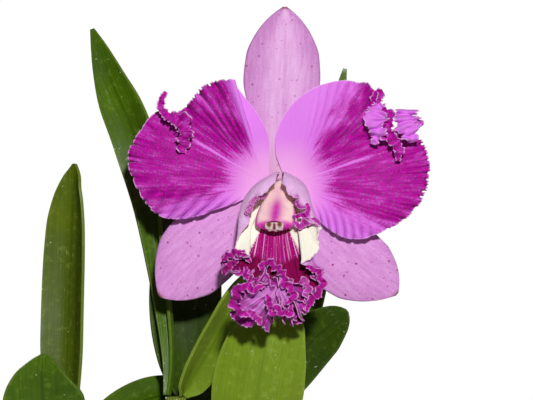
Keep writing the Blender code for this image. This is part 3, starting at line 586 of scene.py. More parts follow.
def petal(name, shape, rows, columns):
    """A fan of rays from the claw, folded, combed and frilled towards its margin."""
    fine = np.linspace(shape["reach"][0][0], shape["reach"][0][-1], 2000)
    degrees, margin = even_margin(fine, flat_edge(fine, through(*shape["reach"], fine)), columns)
    reach = through(*shape["reach"], degrees)
    share = np.linspace(0, 1, FINE_ROWS)[:, None]
    length = PETAL_CLAW + (reach - PETAL_CLAW) * share
    forward, crease = petal_relief(shape, degrees, reach, length)
    frill = uneven(margin, FRILL_WAVE, shape["seed"])[0]
    turn = through(*shape["frill"], degrees) * frill * ease(length, reach - FRILL_BAND, reach)
    crimp, overhang = uneven(margin, CRIMP_WAVE, shape["seed"] + 4)
    size = through(*shape["crimp"], degrees)
    turn = turn + size * crimp * ease(length, reach - CRIMP_BAND, reach)
    radius, forward = bent_rays(length, forward, turn)
    shares = crowded(rows, 1.7)
    radius, forward, length, crease = (read_rows(a, shares) for a in (radius, forward, length, crease))
    from_edge = reach - length
    lean = through(*shape["lean"], degrees) * ease(length, 0.35 * reach, 0.9 * reach)
    lean = lean + np.degrees(overhang / reach) * size * (1 - ease(from_edge, 0, CRIMP_BAND))
    angle = np.radians(shape["rise"] + degrees + lean)
    foot_x, foot_z = shape["foot"]
    x = foot_x + shape["side"] * radius * np.cos(angle)
    z = foot_z + radius * np.sin(angle)
    fan = np.stack([x, -PETAL_LAYER - forward, z], axis=-1)
    heel = fan[:1].copy()
    heel[..., 0] = shape["side"] * (1.0 + 0.9 * np.cos(angle[:1]))
    heel[..., 2] = 1.6 * np.sin(angle[:1])
    points = np.concatenate([heel, fan]) + FLOWER_CENTRE
    length = np.concatenate([length[:1] - PETAL_CLAW, length])
    from_edge = reach - length
    midrib = np.exp(-((degrees / 1.3) ** 2)) * (1 - ease(length, 30, 58))
    paint = {
        "deep": ease(length, 4, 33) * (1 - through(*shape["pale"], degrees)) * (1 - 0.8 * midrib),
        "claw": 1 - ease(length, 8, 26),
        "edge": 0.7 * (1 - ease(from_edge, 0.1, 0.7)),
        "ridge": midrib,
        # painted shade along the pleats' creases
        "crease": np.concatenate([crease[:1], crease]),
    }
    maps = (degrees / 60, length / 60)
    return sheet(name + "_ruffled", points, PETAL_THICK, maps, paint, turned=shape["side"] > 0)


# %% Ruffle builder
def ruffle(name, shape, seed, rows, columns):
    """A strip in front of a petal or the lip, its two sides frilled and cupped to the viewer."""
    path = spline_points(shape["line"], rows)[:, [0, 2, 1]] * (1, -1, 1)
    along = unit(np.gradient(path, axis=0))
    side = unit(np.cross((0, -1, 0), along))
    share = np.linspace(0, 1, rows)[:, None]
    half = through(np.linspace(0, 1, len(shape["half"])), shape["half"], share)
    run = np.concatenate([[0], np.cumsum(np.linalg.norm(np.diff(path, axis=0), axis=1))])[:, None]
    across = np.linspace(-1, 1, columns)[None, :]
    outer = np.abs(across)
    waves = [uneven(run, RUFFLE_WAVE, seed + k)[0] for k in (0, 1)]
    crimps = [uneven(run, RUFFLE_CRIMP_WAVE, seed + k)[0] for k in (2, 3)]
    wave = np.where(across < 0, waves[0], waves[1]) * outer**1.5
    crimp = np.where(across < 0, crimps[0], crimps[1]) * ease(outer, 0.55, 1)
    small = ease(half, 0.6, 2.2)
    sway = shape.get("sway", RUFFLE_SWAY) * small
    forward = small * (shape["height"] * wave + RUFFLE_CRIMP_HEIGHT * crimp + shape["cup"] * outer**2)
    forward = forward + sway * uneven(run, RUFFLE_SWAY_FORWARD, seed + 4)[0]
    sideways = across * half * (1 + RUFFLE_FLARE * wave + RUFFLE_CRIMP_FLARE * crimp)
    sideways = sideways + sway * uneven(run, RUFFLE_SWAY_SIDEWAYS, seed + 5)[0]
    points = path[:, None, :] + sideways[..., None] * side[:, None, :] + forward[..., None] * (0, -1, 0)
    paint = dict(shape["paint"])
    if "crimson" in paint:
        paint["frill"] = paint["frill"] * (0.7 + 0.3 * ease(outer, 0.1, 0.5))
    paint["edge"] = 0.8 * ease(outer * half, half - 0.4, half - 0.1)
    maps = (run / 25, across * half / 30)
    return sheet(name, points + FLOWER_CENTRE, PETAL_THICK, maps, paint, turned=True)


def joined(pieces, materials):
    """One object out of several sheets with the same two materials, their modifiers applied first."""
    for piece in pieces:
        for each in materials:
            piece.data.materials.append(each)
        piece.modifiers["Thickness"].material_offset = 1
    graph = bpy.context.evaluated_depsgraph_get()
    for piece in pieces:
        thick = bpy.data.meshes.new_from_object(piece.evaluated_get(graph))
        piece.modifiers.clear()
        piece.data = thick
    with bpy.context.temp_override(active_object=pieces[0], selected_editable_objects=pieces):
        bpy.ops.object.join()
    return pieces[0]


# %% Petals
PETAL_GRID = (58, 470)
PETAL_RUFFLE_GRID = (120, 24)
for petal_name, petal_shape in PETALS.items():
    strips = [petal(petal_name, petal_shape, *PETAL_GRID)]
    for number, strip in enumerate(RUFFLES[petal_name]):
        seed = 10 * number + petal_shape["seed"]
        strips.append(ruffle(f"{petal_name}_ruffle_{number}", strip, seed, *PETAL_RUFFLE_GRID))
    settle(joined(strips, [petal_front, petal_back]), "petal", petal_name)

# %% [markdown]
# Sepals are the three plain outer parts.  They are firm and waxy, pale lilac with fine lengthwise
# veins, a scatter of tiny magenta freckles, and a duller foot and tip.  Painted shade darkens the
# dorsal sepal all over, and the right one a little.


# %% Sepal finish
def sepal_finish():
    made = Shader("sepal pale lilac", roughness=0.42, specular=0.3)
    uv = made.uv()
    veins = made.drawn_out(uv, (12.0, 4.0, 1.0), 2.0, 0.5)
    grain = made.drawn_out(uv, (24.0, 40.0, 1.0), 2.0, 0.7)
    cloud = made.noise(made.scaled(uv, (1.2, 1.6, 1.0)), 2.5, 2.0)
    flecks = made.spots(made.scaled(uv, (1.0, 2.0, 1.0)), 6.0, 0.22)
    fine_flecks = made.spots(made.scaled(uv, (1.0, 2.0, 1.0)), 14.0, 0.26)
    chosen = made.between(made.noise(made.scaled(uv, (1.0, 2.0, 1.0)), 4.0, 2.0), 0.46, 0.56)
    colour = made.blend(veins, 0.35, 0.65, (230, 166, 228), (218, 146, 214))
    colour = made.blend(grain, 0.35, 0.7, colour, (204, 126, 200), 0.45)
    colour = made.blend(cloud, 0.4, 0.7, colour, (212, 134, 212), 0.35)
    # Painted shade: a darker lilac over whole sepals, the dorsal one most, as if turned from the light.
    colour = made.mix(made.paint("painted_shade"), colour, (150, 96, 146))
    colour = made.mix(made.paint("foot"), colour, (206, 150, 190))
    speckled = made.math("MAXIMUM", flecks, made.times(fine_flecks, 0.5))
    speckled = made.times(speckled, chosen)
    freckles = made.times(speckled, made.paint("freckled"))
    colour = made.mix(freckles, colour, (150, 20, 120))
    made.colour(made.mix(made.paint("tip"), colour, (150, 90, 90)))
    made.bump(made.summed((veins, 1), (grain, 0.4)), 0.3, 0.3)
    made.glow_through(0.06, 1.6, (1.0, 0.5, 0.8), sheen=0.1)
    return made.material


sepal_skin = sepal_finish()
print("sepal finish:", sepal_skin.name)

# %% Sepals
SEPAL_LAYER = 0.8
SEPAL_THICK = 0.75
SEPAL_GRID = (64, 33)
SEPAL_OUTLINE = (
    (0.0, 0.1, 0.25, 0.42, 0.58, 0.72, 0.84, 0.92, 0.97, 1.0),
    (0.16, 0.26, 0.55, 0.86, 1.0, 0.95, 0.73, 0.47, 0.23, 0.04),
)
# Each sepal's last value darkens it all over with painted shade: the dorsal one most, the right one a
# little.
SEPALS = {
    "dorsal_sepal": {
        "foot": (-0.5, 2.2), "tip": (2.0, 88.0), "width": 18.9, "belly": 0.5,
        "back": 5.0, "shoulder": 0.15, "freckled": 0.7, "painted_shade": 0.3,
    },
    "sepal_left": {
        "foot": (-2.6, -2.6), "tip": (-60.0, -55.0), "width": 19.8, "belly": -3.2,
        "back": 7.0, "shoulder": 0.0, "freckled": 0.8, "painted_shade": 0.0,
    },
    "sepal_right": {
        "foot": (2.6, -2.6), "tip": (57.5, -54.0), "width": 18.8, "belly": -4.6,
        "back": 7.0, "shoulder": 0.0, "freckled": 1.0, "painted_shade": 0.08,
    },
}


def sepal(name, shape, rows, columns):
    """A blade from its foot to its tip, rolled back at its sides and bellied to one side."""
    share = np.linspace(0, 1, rows)[:, None]
    across = np.linspace(-1, 1, columns)[None, :]
    foot, tip = np.array(shape["foot"]), np.array(shape["tip"])
    length = np.linalg.norm(tip - foot)
    along = (tip - foot) / length
    left = np.array([-along[1], along[0]])
    shoulder = shape["shoulder"] * (1 - ease(share, 0.05, 0.4))
    width = shape["width"] * (through(*SEPAL_OUTLINE, share) + shoulder)
    sideways = shape["belly"] * np.sin(np.pi * share) + width * across
    flat = foot + share[..., None] * length * along + sideways[..., None] * left
    roll = 0.16 * width * across**2 * (0.35 + share)
    channel = 1.0 * (1 - np.abs(across)) ** 2 * np.sin(np.pi * share)
    ripple = 0.25 * np.sin(share * 21 + across * 2.0) * np.abs(across) ** 3 * np.sin(np.pi * share)
    depth = -SEPAL_LAYER + shape["back"] * share**2 + roll + channel + ripple
    points = np.stack([flat[..., 0], depth, flat[..., 1]], axis=-1) + FLOWER_CENTRE
    paint = {
        "foot": 0.8 * (1 - ease(share, 0.05, 0.4)),
        "tip": ease(share, 0.975, 1.0),
        "freckled": shape["freckled"],
        # painted shade over the whole sepal
        "painted_shade": shape["painted_shade"],
    }
    maps = (across * width / 20, share * length / 40)
    piece = sheet(name + "_waxy", points, SEPAL_THICK, maps, paint)
    dress(piece, sepal_skin, "sepal", name)


for sepal_name, sepal_shape in SEPALS.items():
    sepal(sepal_name, sepal_shape, *SEPAL_GRID)

# %% [markdown]
# The lip is the flower's trumpet.  Its sides wrap the column, its throat is cream at the sides and
# striped with magenta below, and its front lobe is velvety crimson with a frilled pale edge.  It
# is a sheet whose rays run along the trumpet's axis, with front and back in different colours.
# The fold that hangs below is a second sheet, and ruffled strips crumple the edges of both.

# %% Lip shape
LIP_TILT = math.radians(40.0)
LIP_LAYER = 3.2
LIP_THICK = 0.45
LIP_SWING = 3.6
LIP_AXIS = np.array([0.0, -math.cos(LIP_TILT), -math.sin(LIP_TILT)])
LIP_UP = np.array([0.0, -math.sin(LIP_TILT), math.cos(LIP_TILT)])
SIDEWAYS = np.array([1.0, 0.0, 0.0])
LIP_FOOT = (1.0, 5.2)
LIP_RAYS = {
    -172: ((2, 10.5), (7, 13.5), (12, 11)),
    -145: ((3, 11), (12, 17), (19, 11.5)),
    -118: ((4, 12.5), (13, 19.5), (24, 12.5)),
    -94: ((8, 15), (22, 22.5), (29, 12)),
    -78: ((12, 14), (30, 16), (41, 18.5)),
    -68: ((14, 13), (34, 12.5), (48, 12)),
    -60: ((16, 12), (42, 11.5), (39, 31)),
    -51: ((17, 10), (44, 12), (51, 23)),
    -42: ((17, 10), (45, 12), (60, 19)),
    -32: ((17, 9), (44, 10), (60, 19)),
    -15: ((18, 9), (45, 10.5), (64, 21)),
    5: ((18, 9), (46, 11), (68, 25)),
    22: ((18, 9), (46, 12), (71, 29)),
    34: ((18, 10), (44, 12.5), (71, 27)),
    46: ((17, 11), (42, 13), (64, 26)),
    57: ((16, 12), (40, 13.5), (58, 26.5)),
    65: ((15, 12.5), (37, 13), (52, 23.5)),
    72: ((14, 13), (34, 12.5), (53, 14)),
    81: ((13, 14), (31, 16), (44, 21.5)),
    91: ((10, 15), (26, 20), (36, 21.5)),
    102: ((7, 14), (19, 20), (30, 17)),
    118: ((4, 12.5), (13, 19.5), (24, 13)),
    145: ((3, 11), (12, 17), (19, 11.5)),
    172: ((2, 10.5), (7, 13.5), (12, 11)),
}
LIP_CURL = (
    (-172, -66, -58, -52, -46, -41, -37, -33, -24, 0, 10, 16, 22, 30, 35, 41, 47, 60, 172),
    (
        0.0, 0.0, -0.3, -0.6, -0.9, -0.5, -1.2, -2.5, -2.7, -2.6, -2.3, -1.4, -0.4, -0.3,
        -1.9, -1.9, -0.3, 0.0, 0.0,
    ),
)
LIP_CURL_BAND = 13.0
LIP_FRILL = (
    (-172, -145, -118, -100, -86, -72, -62, 0, 50, 64, 74, 84, 94, 104, 118, 145, 172),
    (0.2, 0.4, 1.1, 1.1, 0.2, 0.2, 1.1, 0.8, 1.0, 0.9, 0.2, 0.2, 1.2, 1.6, 1.2, 0.4, 0.2),
)
LIP_BAND = ((-172, -84, -60, 0, 55, 80, 172), (6, 6, 11, 12, 11, 6, 7))
LIP_WAVE = 9.0
SKIRT_CRUMPLE_WAVES = (19.0, 6.5)
LIP_CRIMP = (
    (-172, -145, -118, -96, -84, -72, -60, 0, 55, 68, 82, 92, 102, 118, 145, 172),
    (0.1, 0.3, 0.9, 0.8, 0.1, 0.2, 1.2, 1.1, 1.2, 0.8, 0.1, 0.6, 1.3, 1.0, 0.3, 0.1),
)
LIP_CRIMP_BAND = 3.5
LIP_CRIMP_WAVE = 3.2
LIP_GRID = (50, 450)
SKIRT_CENTRE = np.array([-1.5, -41.0, -48.0])
SKIRT_REACH = (
    (10, 40, 90, 140, 166, 178, 190, 205, 222, 234, 245, 256, 266, 276, 290, 305, 320, 340, 370),
    (11, 6, 5, 6, 9, 18, 23, 25, 27, 23, 21, 23, 13, 17, 20, 17, 18, 15, 11),
)
SKIRT_FOOT = 0.6
SKIRT_FLARE, SKIRT_DROOP = 0.20, 0.010
SKIRT_NOTCH = 268
SKIRT_NOTCH_DEPTH = 3.0
SKIRT_FRILL_BAND = 9.0
SKIRT_GRID = (30, 260)
LIP_RUFFLE_GRID = (74, 14)

# %% Lip ruffles
LIP_RUFFLES = {
    "arm": {
        "line": (
            (-14.5, -37, 34), (-17, -34, 34), (-20.5, -32, 35), (-23.5, -33, 33),
            (-26.5, -34.5, 31), (-28, -36.5, 30),
        ),
        "half": (0.7, 1.5, 1.7, 1.7, 1.6, 0.8),
        "height": 1.6, "cup": 0.6, "paint": {"crimson": 1.0, "frill": 0.75},
    },
    "arm_low": {
        "line": ((-20.5, -36, 31), (-24.5, -38.5, 30), (-26.5, -40.5, 29), (-27.5, -43, 28)),
        "half": (0.7, 1.8, 1.8, 0.7),
        "height": 1.2, "cup": -0.4, "paint": {"crimson": 1.0, "frill": 0.45},
    },
    "lobe": {
        "line": (
            (-17, -39, 35), (-16.5, -42.5, 38), (-14, -46, 41), (-11, -45.5, 42),
            (-9, -43.5, 41),
        ),
        "half": (0.8, 1.6, 1.9, 1.7, 0.8),
        "height": 1.6, "cup": 0.8, "paint": {"crimson": 1.0, "frill": 0.8},
    },
    "crest": {
        "line": (
            (-9.5, -41, 34), (-9, -38, 33), (-6.5, -37, 32.5), (-3.5, -38.5, 34), (-1, -40.5, 37),
            (1, -43, 42), (1, -46, 44), (3, -47.5, 45), (5, -50, 46), (5, -53.5, 47),
            (2, -55.5, 47.5),
        ),
        "half": (0.8, 1.5, 1.7, 1.8, 1.8, 1.8, 2.0, 1.8, 1.8, 1.6, 0.8),
        "height": 2.0, "cup": 0.5, "paint": {"crimson": 1.0, "frill": 0.9},
    },
    "crest_right": {
        "line": (
            (8.5, -46.5, 42), (11, -45.5, 43), (12.5, -48, 43), (11.5, -50.5, 45), (12.5, -53, 46),
        ),
        "half": (0.8, 1.7, 1.8, 1.7, 0.7),
        "height": 1.8, "cup": 0.8, "paint": {"crimson": 1.0, "frill": 1.0, "lilac": 0.08},
    },
    "margin": {
        "line": (
            (11.5, -38.5, 42), (15.5, -40, 42), (18, -43, 42), (19, -46, 42), (18, -49.5, 43),
            (15.5, -52.5, 44), (13, -55.5, 46), (11.5, -59.5, 47),
        ),
        "half": (0.8, 1.5, 1.7, 1.8, 1.8, 1.8, 1.6, 0.7),
        "height": 1.8, "cup": 0.6, "paint": {"crimson": 1.0, "frill": 0.8},
    },
    "fold_left": {
        "line": (
            (-8, -47, 45), (-13, -49, 47), (-17.5, -47.5, 47), (-20.5, -49.5, 47),
            (-22, -53.5, 47), (-21.5, -57, 47), (-18.5, -60, 47.5), (-15, -61, 48),
        ),
        "half": (0.8, 1.7, 2.0, 2.1, 2.1, 2.0, 1.8, 0.8),
        "height": 2.2, "cup": 0.5, "paint": {"crimson": 1.0, "frill": 1.0},
    },
    "fold_tail": {
        "line": ((-15.5, -59, 48), (-13, -61, 48.5), (-11, -63, 49), (-9.5, -65.5, 49)),
        "half": (1.1, 1.7, 1.6, 0.7),
        "height": 1.4, "cup": 0.6, "paint": {"crimson": 1.0, "frill": 1.0, "lilac": 0.03},
    },
    "fold_middle": {
        "line": (
            (-7, -51.5, 47), (-5.5, -55.5, 48), (-4.5, -60, 48.5), (-2.5, -58, 49), (0.5, -60, 49),
            (3.5, -60, 49), (4.5, -56.5, 48.5),
        ),
        "half": (0.8, 1.8, 1.6, 1.7, 1.7, 1.6, 0.8),
        "height": 1.8, "cup": 0.6, "paint": {"crimson": 1.0, "frill": 0.85},
    },
    "wing_right": {
        "line": (
            (12, -9, 27), (13, -12, 28), (11, -14.5, 28), (8, -15, 26), (5.5, -15.5, 24),
        ),
        "half": (0.8, 1.3, 1.4, 1.2, 0.6),
        "height": 1.2, "cup": 0.6, "paint": {"frill": 1.0},
    },
    "wing_low": {
        "line": (
            (6, -18, 24), (9, -19.5, 26), (12.5, -18, 27), (15, -17, 28), (17.5, -19, 28.5),
            (18, -22, 28.5),
        ),
        "half": (0.6, 1.6, 1.8, 1.6, 1.3, 0.6),
        "height": 1.3, "cup": 0.5, "paint": {"frill": 1.0, "lilac": 0.04},
    },
    "wing_left": {
        "line": (
            (-6, -4.5, 12), (-8.5, -6, 18), (-12, -6.5, 25.5), (-13.5, -7.5, 26.5),
            (-14, -10.5, 27), (-15.5, -12.5, 27), (-16.5, -13.5, 27),
        ),
        "half": (0.4, 0.8, 1.1, 1.1, 0.9, 1.1, 0.5),
        "height": 0.7, "cup": 0.3, "paint": {"frill": 0.9},
    },
}


# %% Lip finish
def lip_veins(made):
    """Veins that run out along the lip's rays, with finer grain between them."""
    uv = made.uv()
    return (
        made.drawn_out(uv, (24.0, 1.4, 1.0), 3.0, 0.6),
        made.drawn_out(uv, (44.0, 16.0, 1.0), 2.0, 0.6),
    )


def lip_finish():
    made = Shader("lip crimson throat", roughness=0.6, specular=0.1)
    veins, grain = lip_veins(made)
    lines = made.drawn_out(made.uv(), (26.0, 0.6, 1.0), 1.0, 0.4)
    cream = made.blend(grain, 0.3, 0.7, (255, 253, 238), (250, 240, 205), 0.4)
    striped = made.blend(lines, 0.32, 0.44, (236, 170, 216), (166, 4, 118))
    speckle = made.noise(made.place(), 1600.0, 2.0, 0.6)
    edge_of_stain = made.summed((made.paint("throat"), 1), (speckle, 2.2))
    throat = made.blend(edge_of_stain, 1.45, 1.75, cream, striped)
    crimson = made.blend(veins, 0.35, 0.65, (100, 0, 54), (146, 0, 82))
    reach = made.summed((made.paint("crimson"), 1), (veins, 0.6))
    colour = made.blend(reach, 0.55, 0.95, throat, crimson)
    purple = made.blend(veins, 0.36, 0.6, (130, 0, 96), (204, 36, 182))
    colour = made.mix(made.paint("frill"), colour, purple)
    lilac = made.blend(veins, 0.52, 0.68, (242, 196, 242), (200, 70, 190))
    colour = made.mix(made.paint("lilac"), colour, lilac)
    made.colour(made.mix(made.paint("edge"), colour, (228, 160, 224)))
    made.bump(made.summed((veins, 1), (grain, 0.4)), 0.6, 0.5)
    made.glow_through(0.1, 1.0, (1.0, 0.3, 0.6), sheen=0.04)
    return made.material


def lip_back_finish():
    made = Shader("lip outside lilac", roughness=0.6, specular=0.1)
    veins, grain = lip_veins(made)
    pale = made.blend(grain, 0.35, 0.7, (234, 190, 232), (222, 166, 222))
    stained = made.blend(veins, 0.42, 0.58, (222, 160, 226), (184, 70, 178))
    colour = made.mix(made.paint("crimson"), pale, stained)
    purple = made.blend(veins, 0.36, 0.6, (134, 4, 104), (192, 44, 178))
    colour = made.mix(made.paint("frill"), colour, purple)
    made.colour(made.mix(made.paint("edge"), colour, (230, 170, 226)))
    made.bump(made.summed((veins, 1), (grain, 0.4)), 0.6, 0.4)
    made.glow_through(0.12, 1.2, (1.0, 0.5, 0.8), sheen=0.1)
    return made.material


lip_inside = lip_finish()
lip_outside = lip_back_finish()
print("lip finishes:", lip_inside.name, "and", lip_outside.name)


# %% Lip builder
def lip(rows, columns):
    """The trumpet: rays that run along its axis, then curl back and frill at their ends."""
    rays = np.array(list(LIP_RAYS.values()), float)
    fine = np.linspace(list(LIP_RAYS)[0], list(LIP_RAYS)[-1], 2000)
    edge_along, edge_out = (through(list(LIP_RAYS), rays[:, 2, k], fine) for k in (0, 1))
    edge = np.column_stack([edge_along, flat_edge(fine, edge_out)])
    degrees, margin = even_margin(fine, edge, columns)
    angle = np.radians(degrees)
    share = np.linspace(0, 1, FINE_ROWS)[:, None]
    weights = (3 * share * (1 - share) ** 2, 3 * share**2 * (1 - share), share**3)
    along = (1 - share) ** 3 * (LIP_FOOT[0] + LIP_FOOT[1] * math.tan(LIP_TILT) * np.cos(angle))
    out = (1 - share) ** 3 * LIP_FOOT[1]
    for k, weight in enumerate(weights):
        along = along + weight * through(list(LIP_RAYS), rays[:, k, 0], degrees)
        out = out + weight * through(list(LIP_RAYS), rays[:, k, 1], degrees)
    steps = np.hypot(*np.diff([along, out], axis=1))
    travelled = np.vstack([np.zeros((1, columns)), np.cumsum(steps, axis=0)])
    left = travelled[-1:] - travelled
    turn = through(*LIP_CURL, degrees) * (1 - ease(left, 0, LIP_CURL_BAND))
    frill = uneven(margin, LIP_WAVE, 5)[0]
    turn = turn + through(*LIP_FRILL, degrees) * frill * (1 - ease(left, 0, through(*LIP_BAND, degrees)))
    crimp, overhang = uneven(margin, LIP_CRIMP_WAVE, 9)
    size = through(*LIP_CRIMP, degrees)
    turn = turn + size * crimp * (1 - ease(left, 0, LIP_CRIMP_BAND))
    along, out = bent_rays(along, out, turn)
    shares = crowded(rows, 1.5)
    along, out, left, travelled = (read_rows(a, shares) for a in (along, out, left, travelled))
    angle = angle + overhang / edge_out.mean() * size * (1 - ease(left, 0, LIP_CRIMP_BAND))
    start = np.array([0.0, -LIP_LAYER, 0.0])
    side = out * np.sin(angle) - LIP_SWING * ease(along, 0, 30)
    points = start + along[..., None] * LIP_AXIS - (out * np.cos(angle))[..., None] * LIP_UP
    points = points + side[..., None] * SIDEWAYS + FLOWER_CENTRE
    inner = 1 - ease(np.abs(degrees), 64, 72)
    wings = band_of(np.abs(degrees), 94, 104, 126, 146)
    stain = 1 - ease(np.abs(degrees), 16 + 0.75 * travelled, 40 + 0.75 * travelled)
    paint = {
        "throat": stain * ease(travelled, 8, 20),
        "crimson": inner * ease(travelled, 30, 46),
        "frill": (1 - ease(left, 1.0, 4.0)) * np.maximum(inner, wings),
        "lilac": 0,
        "edge": 0.7 * (1 - ease(left, 0.1, 0.7)),
    }
    maps = (degrees / 60, travelled / 40)
    return sheet("lip_frilled", points, LIP_THICK, maps, paint, turned=True)


# %% Lip fold builder
def lip_skirt(rows, columns):
    """The reflexed fold of the front lobe: a frilled fan round a pale middle, below the curled edge."""
    fine = np.linspace(SKIRT_REACH[0][0], SKIRT_REACH[0][-1], 2000)
    degrees, margin = even_margin(fine, flat_edge(fine, through(*SKIRT_REACH, fine)), columns)
    reach = through(*SKIRT_REACH, degrees)
    share = np.linspace(0, 1, FINE_ROWS)[:, None]
    length = SKIRT_FOOT + (reach - SKIRT_FOOT) * share
    left = reach - length
    flare = SKIRT_FLARE * length - SKIRT_DROOP * length**2
    valley = SKIRT_NOTCH_DEPTH * np.exp(-(((degrees - SKIRT_NOTCH) / 9) ** 2)) * ease(length, 2, 10)
    frill = uneven(margin, LIP_WAVE, 2)[0]
    turn = 1.3 * frill * (1 - ease(left, 0, SKIRT_FRILL_BAND))
    crimp, overhang = uneven(margin, LIP_CRIMP_WAVE, 6)
    turn = turn + 1.2 * crimp * (1 - ease(left, 0, LIP_CRIMP_BAND))
    round_wave, outward_wave = SKIRT_CRUMPLE_WAVES
    crumple = 1.2 * uneven(degrees, round_wave, 4)[0] * ease(length, 2, 12)
    bent = length + 2.4 * np.sin(np.radians(5 * degrees))
    crumple = crumple + 0.9 * uneven(bent, outward_wave, 7)[0] * ease(length, 3, 9)
    radius, forward = bent_rays(length, flare - valley + crumple, turn)
    shares = crowded(rows, 1.4)
    radius, forward, left, length = (read_rows(a, shares) for a in (radius, forward, left, length))
    angle = np.radians(degrees) + overhang / reach * (1 - ease(left, 0, LIP_CRIMP_BAND))
    flat = np.stack([radius * np.cos(angle), -forward, radius * np.sin(angle)], axis=-1)
    points = flat + SKIRT_CENTRE + FLOWER_CENTRE
    paint = {
        "throat": 0,
        "crimson": 1,
        "frill": 0.15 + 0.85 * (1 - ease(left, 3.0, 12.0)),
        "lilac": 0.8 * (1 - ease(length, 3, 10)) * ease(np.cos(np.radians(degrees - 195)), -0.6, 0.3),
        "edge": 0.8 * (1 - ease(left, 0.1, 0.7)),
    }
    maps = (degrees / 50, length / 40)
    return sheet("lip_skirt", points, LIP_THICK, maps, paint)


# %% Lip
lip_sheets = [lip(*LIP_GRID), lip_skirt(*SKIRT_GRID)]
for number, (ruffle_name, ruffle_shape) in enumerate(LIP_RUFFLES.items()):
    seed = 40 + 10 * number
    lip_sheets.append(ruffle("lip_ruffle_" + ruffle_name, ruffle_shape, seed, *LIP_RUFFLE_GRID))
settle(joined(lip_sheets, [lip_inside, lip_outside]), "lip", "lip")

# %% [markdown]
# The column is the flower's fused stamens and style: a pale club with a magenta stripe and rim,
# and a cream cap over the pollen with two amber hollows.  Rings along the lip's axis make both.


# %% Column and cap finishes
def column_finish():
    made = Shader("column pale with magenta", roughness=0.35, specular=0.5)
    cloud = made.noise(made.place(), 320.0, 3.0)
    colour = made.mix(made.paint("stripe"), (250, 218, 214), (206, 24, 170))
    made.colour(made.blend(cloud, 0.45, 0.7, colour, (226, 150, 214), 0.3))
    made.bump(cloud, 0.2, 0.2)
    made.glow_through(0.35, 2.0, (1.0, 0.5, 0.7))
    return made.material


def anther_finish():
    made = Shader("anther cap cream", roughness=0.35, specular=0.5)
    cloud = made.noise(made.place(), 900.0, 2.0)
    colour = made.blend(cloud, 0.4, 0.7, (252, 240, 230), (236, 206, 196), 0.4)
    colour = made.mix(made.paint("notch"), colour, (128, 0, 78))
    made.colour(made.mix(made.paint("hollow"), colour, (112, 58, 4)))
    made.bump(cloud, 0.3, 0.15)
    made.glow_through(0.3, 1.0, (1.0, 0.7, 0.5))
    return made.material


# %% Ring body helper
def ring_body(name, rings, paint=None):
    """A closed body through rings of points in millimetres, its ends fanned to their middles."""
    rings = np.asarray(rings, float)
    count, sides = rings.shape[:2]
    verts = np.vstack([rings.reshape(-1, 3), rings[0].mean(axis=0), rings[-1].mean(axis=0)])
    faces = []
    for ring in range(count - 1):
        for k in range(sides):
            here, there = ring * sides + k, ring * sides + (k + 1) % sides
            faces.append((here, there, there + sides, here + sides))
    low, high = count * sides, count * sides + 1
    last = (count - 1) * sides
    for k in range(sides):
        faces.append((low, (k + 1) % sides, k))
        faces.append((high, last + k, last + (k + 1) % sides))
    mesh = bpy.data.meshes.new(name)
    mesh.from_pydata((verts * MM).tolist(), [], faces)
    bm = bmesh.new()
    bm.from_mesh(mesh)
    if bm.calc_volume(signed=True) < 0:
        bmesh.ops.reverse_faces(bm, faces=bm.faces)
    bm.to_mesh(mesh)
    bm.free()
    for key, values in (paint or {}).items():
        spread = np.broadcast_to(values, (count, sides)).astype(np.float32).ravel()
        ends = [spread[:sides].mean(), spread[-sides:].mean()]
        paint_points(mesh, key, np.append(spread, ends))
    mesh.shade_smooth()
    return placed(name, mesh)


# %% Column and cap
COLUMN_START = 1.0
COLUMN_LENGTH = 29.0
COLUMN_LEAN = 3.4
COLUMN_WIDTH = (
    (0.0, 0.06, 0.2, 0.42, 0.6, 0.8, 0.94, 1.0),
    (3.2, 4.6, 6.4, 8.0, 9.0, 9.6, 9.0, 6.4),
)
COLUMN_DEPTH = ((0.0, 0.5, 0.85, 1.0), (3.8, 4.0, 3.6, 2.4))
ANTHER_SIZE = (5.0, 3.0, 3.0)


def column_centre(share):
    along = COLUMN_START + COLUMN_LENGTH * share
    centre = LIP_AXIS * along - LIP_UP * (2.0 * share**2) - SIDEWAYS * (COLUMN_LEAN * share)
    return FLOWER_CENTRE + np.array([0.0, -LIP_LAYER, 0.0]) + centre


def column():
    """The club, widest near its end, with its colours painted ring by ring."""
    share = np.linspace(0, 1, 40)[:, None]
    angle = np.linspace(0, 2 * np.pi, 48, endpoint=False)[None, :]
    width, depth = through(*COLUMN_WIDTH, share), through(*COLUMN_DEPTH, share)
    hollow = 1.0 - 0.35 * share * np.maximum(0, -np.sin(angle))
    keel = 1.0 + 0.12 * np.exp(-(((angle - np.pi / 2) / 0.35) ** 2)) * np.sin(np.pi * share)
    across = (width * np.cos(angle))[..., None] * SIDEWAYS
    upwards = (depth * hollow * keel * np.sin(angle))[..., None] * LIP_UP
    centres = np.array([column_centre(s) for s in share[:, 0]])
    middle = np.exp(-((np.cos(angle) / 0.34) ** 2)) * ease(np.sin(angle), 0, 0.5)
    middle = middle * (0.25 + 0.75 * ease(share, 0.35, 0.7)) * ease(share, 0.05, 0.2)
    wings = ease(np.abs(np.cos(angle)), 0.82, 0.97) * ease(share, 0.2, 0.6)
    wings = np.maximum(wings, ease(share, 0.88, 0.98))
    paint = {"stripe": np.maximum(middle, wings)}
    piece = ring_body("column_club", centres[:, None, :] + across + upwards, paint)
    dress(piece, column_finish(), "column", "column")


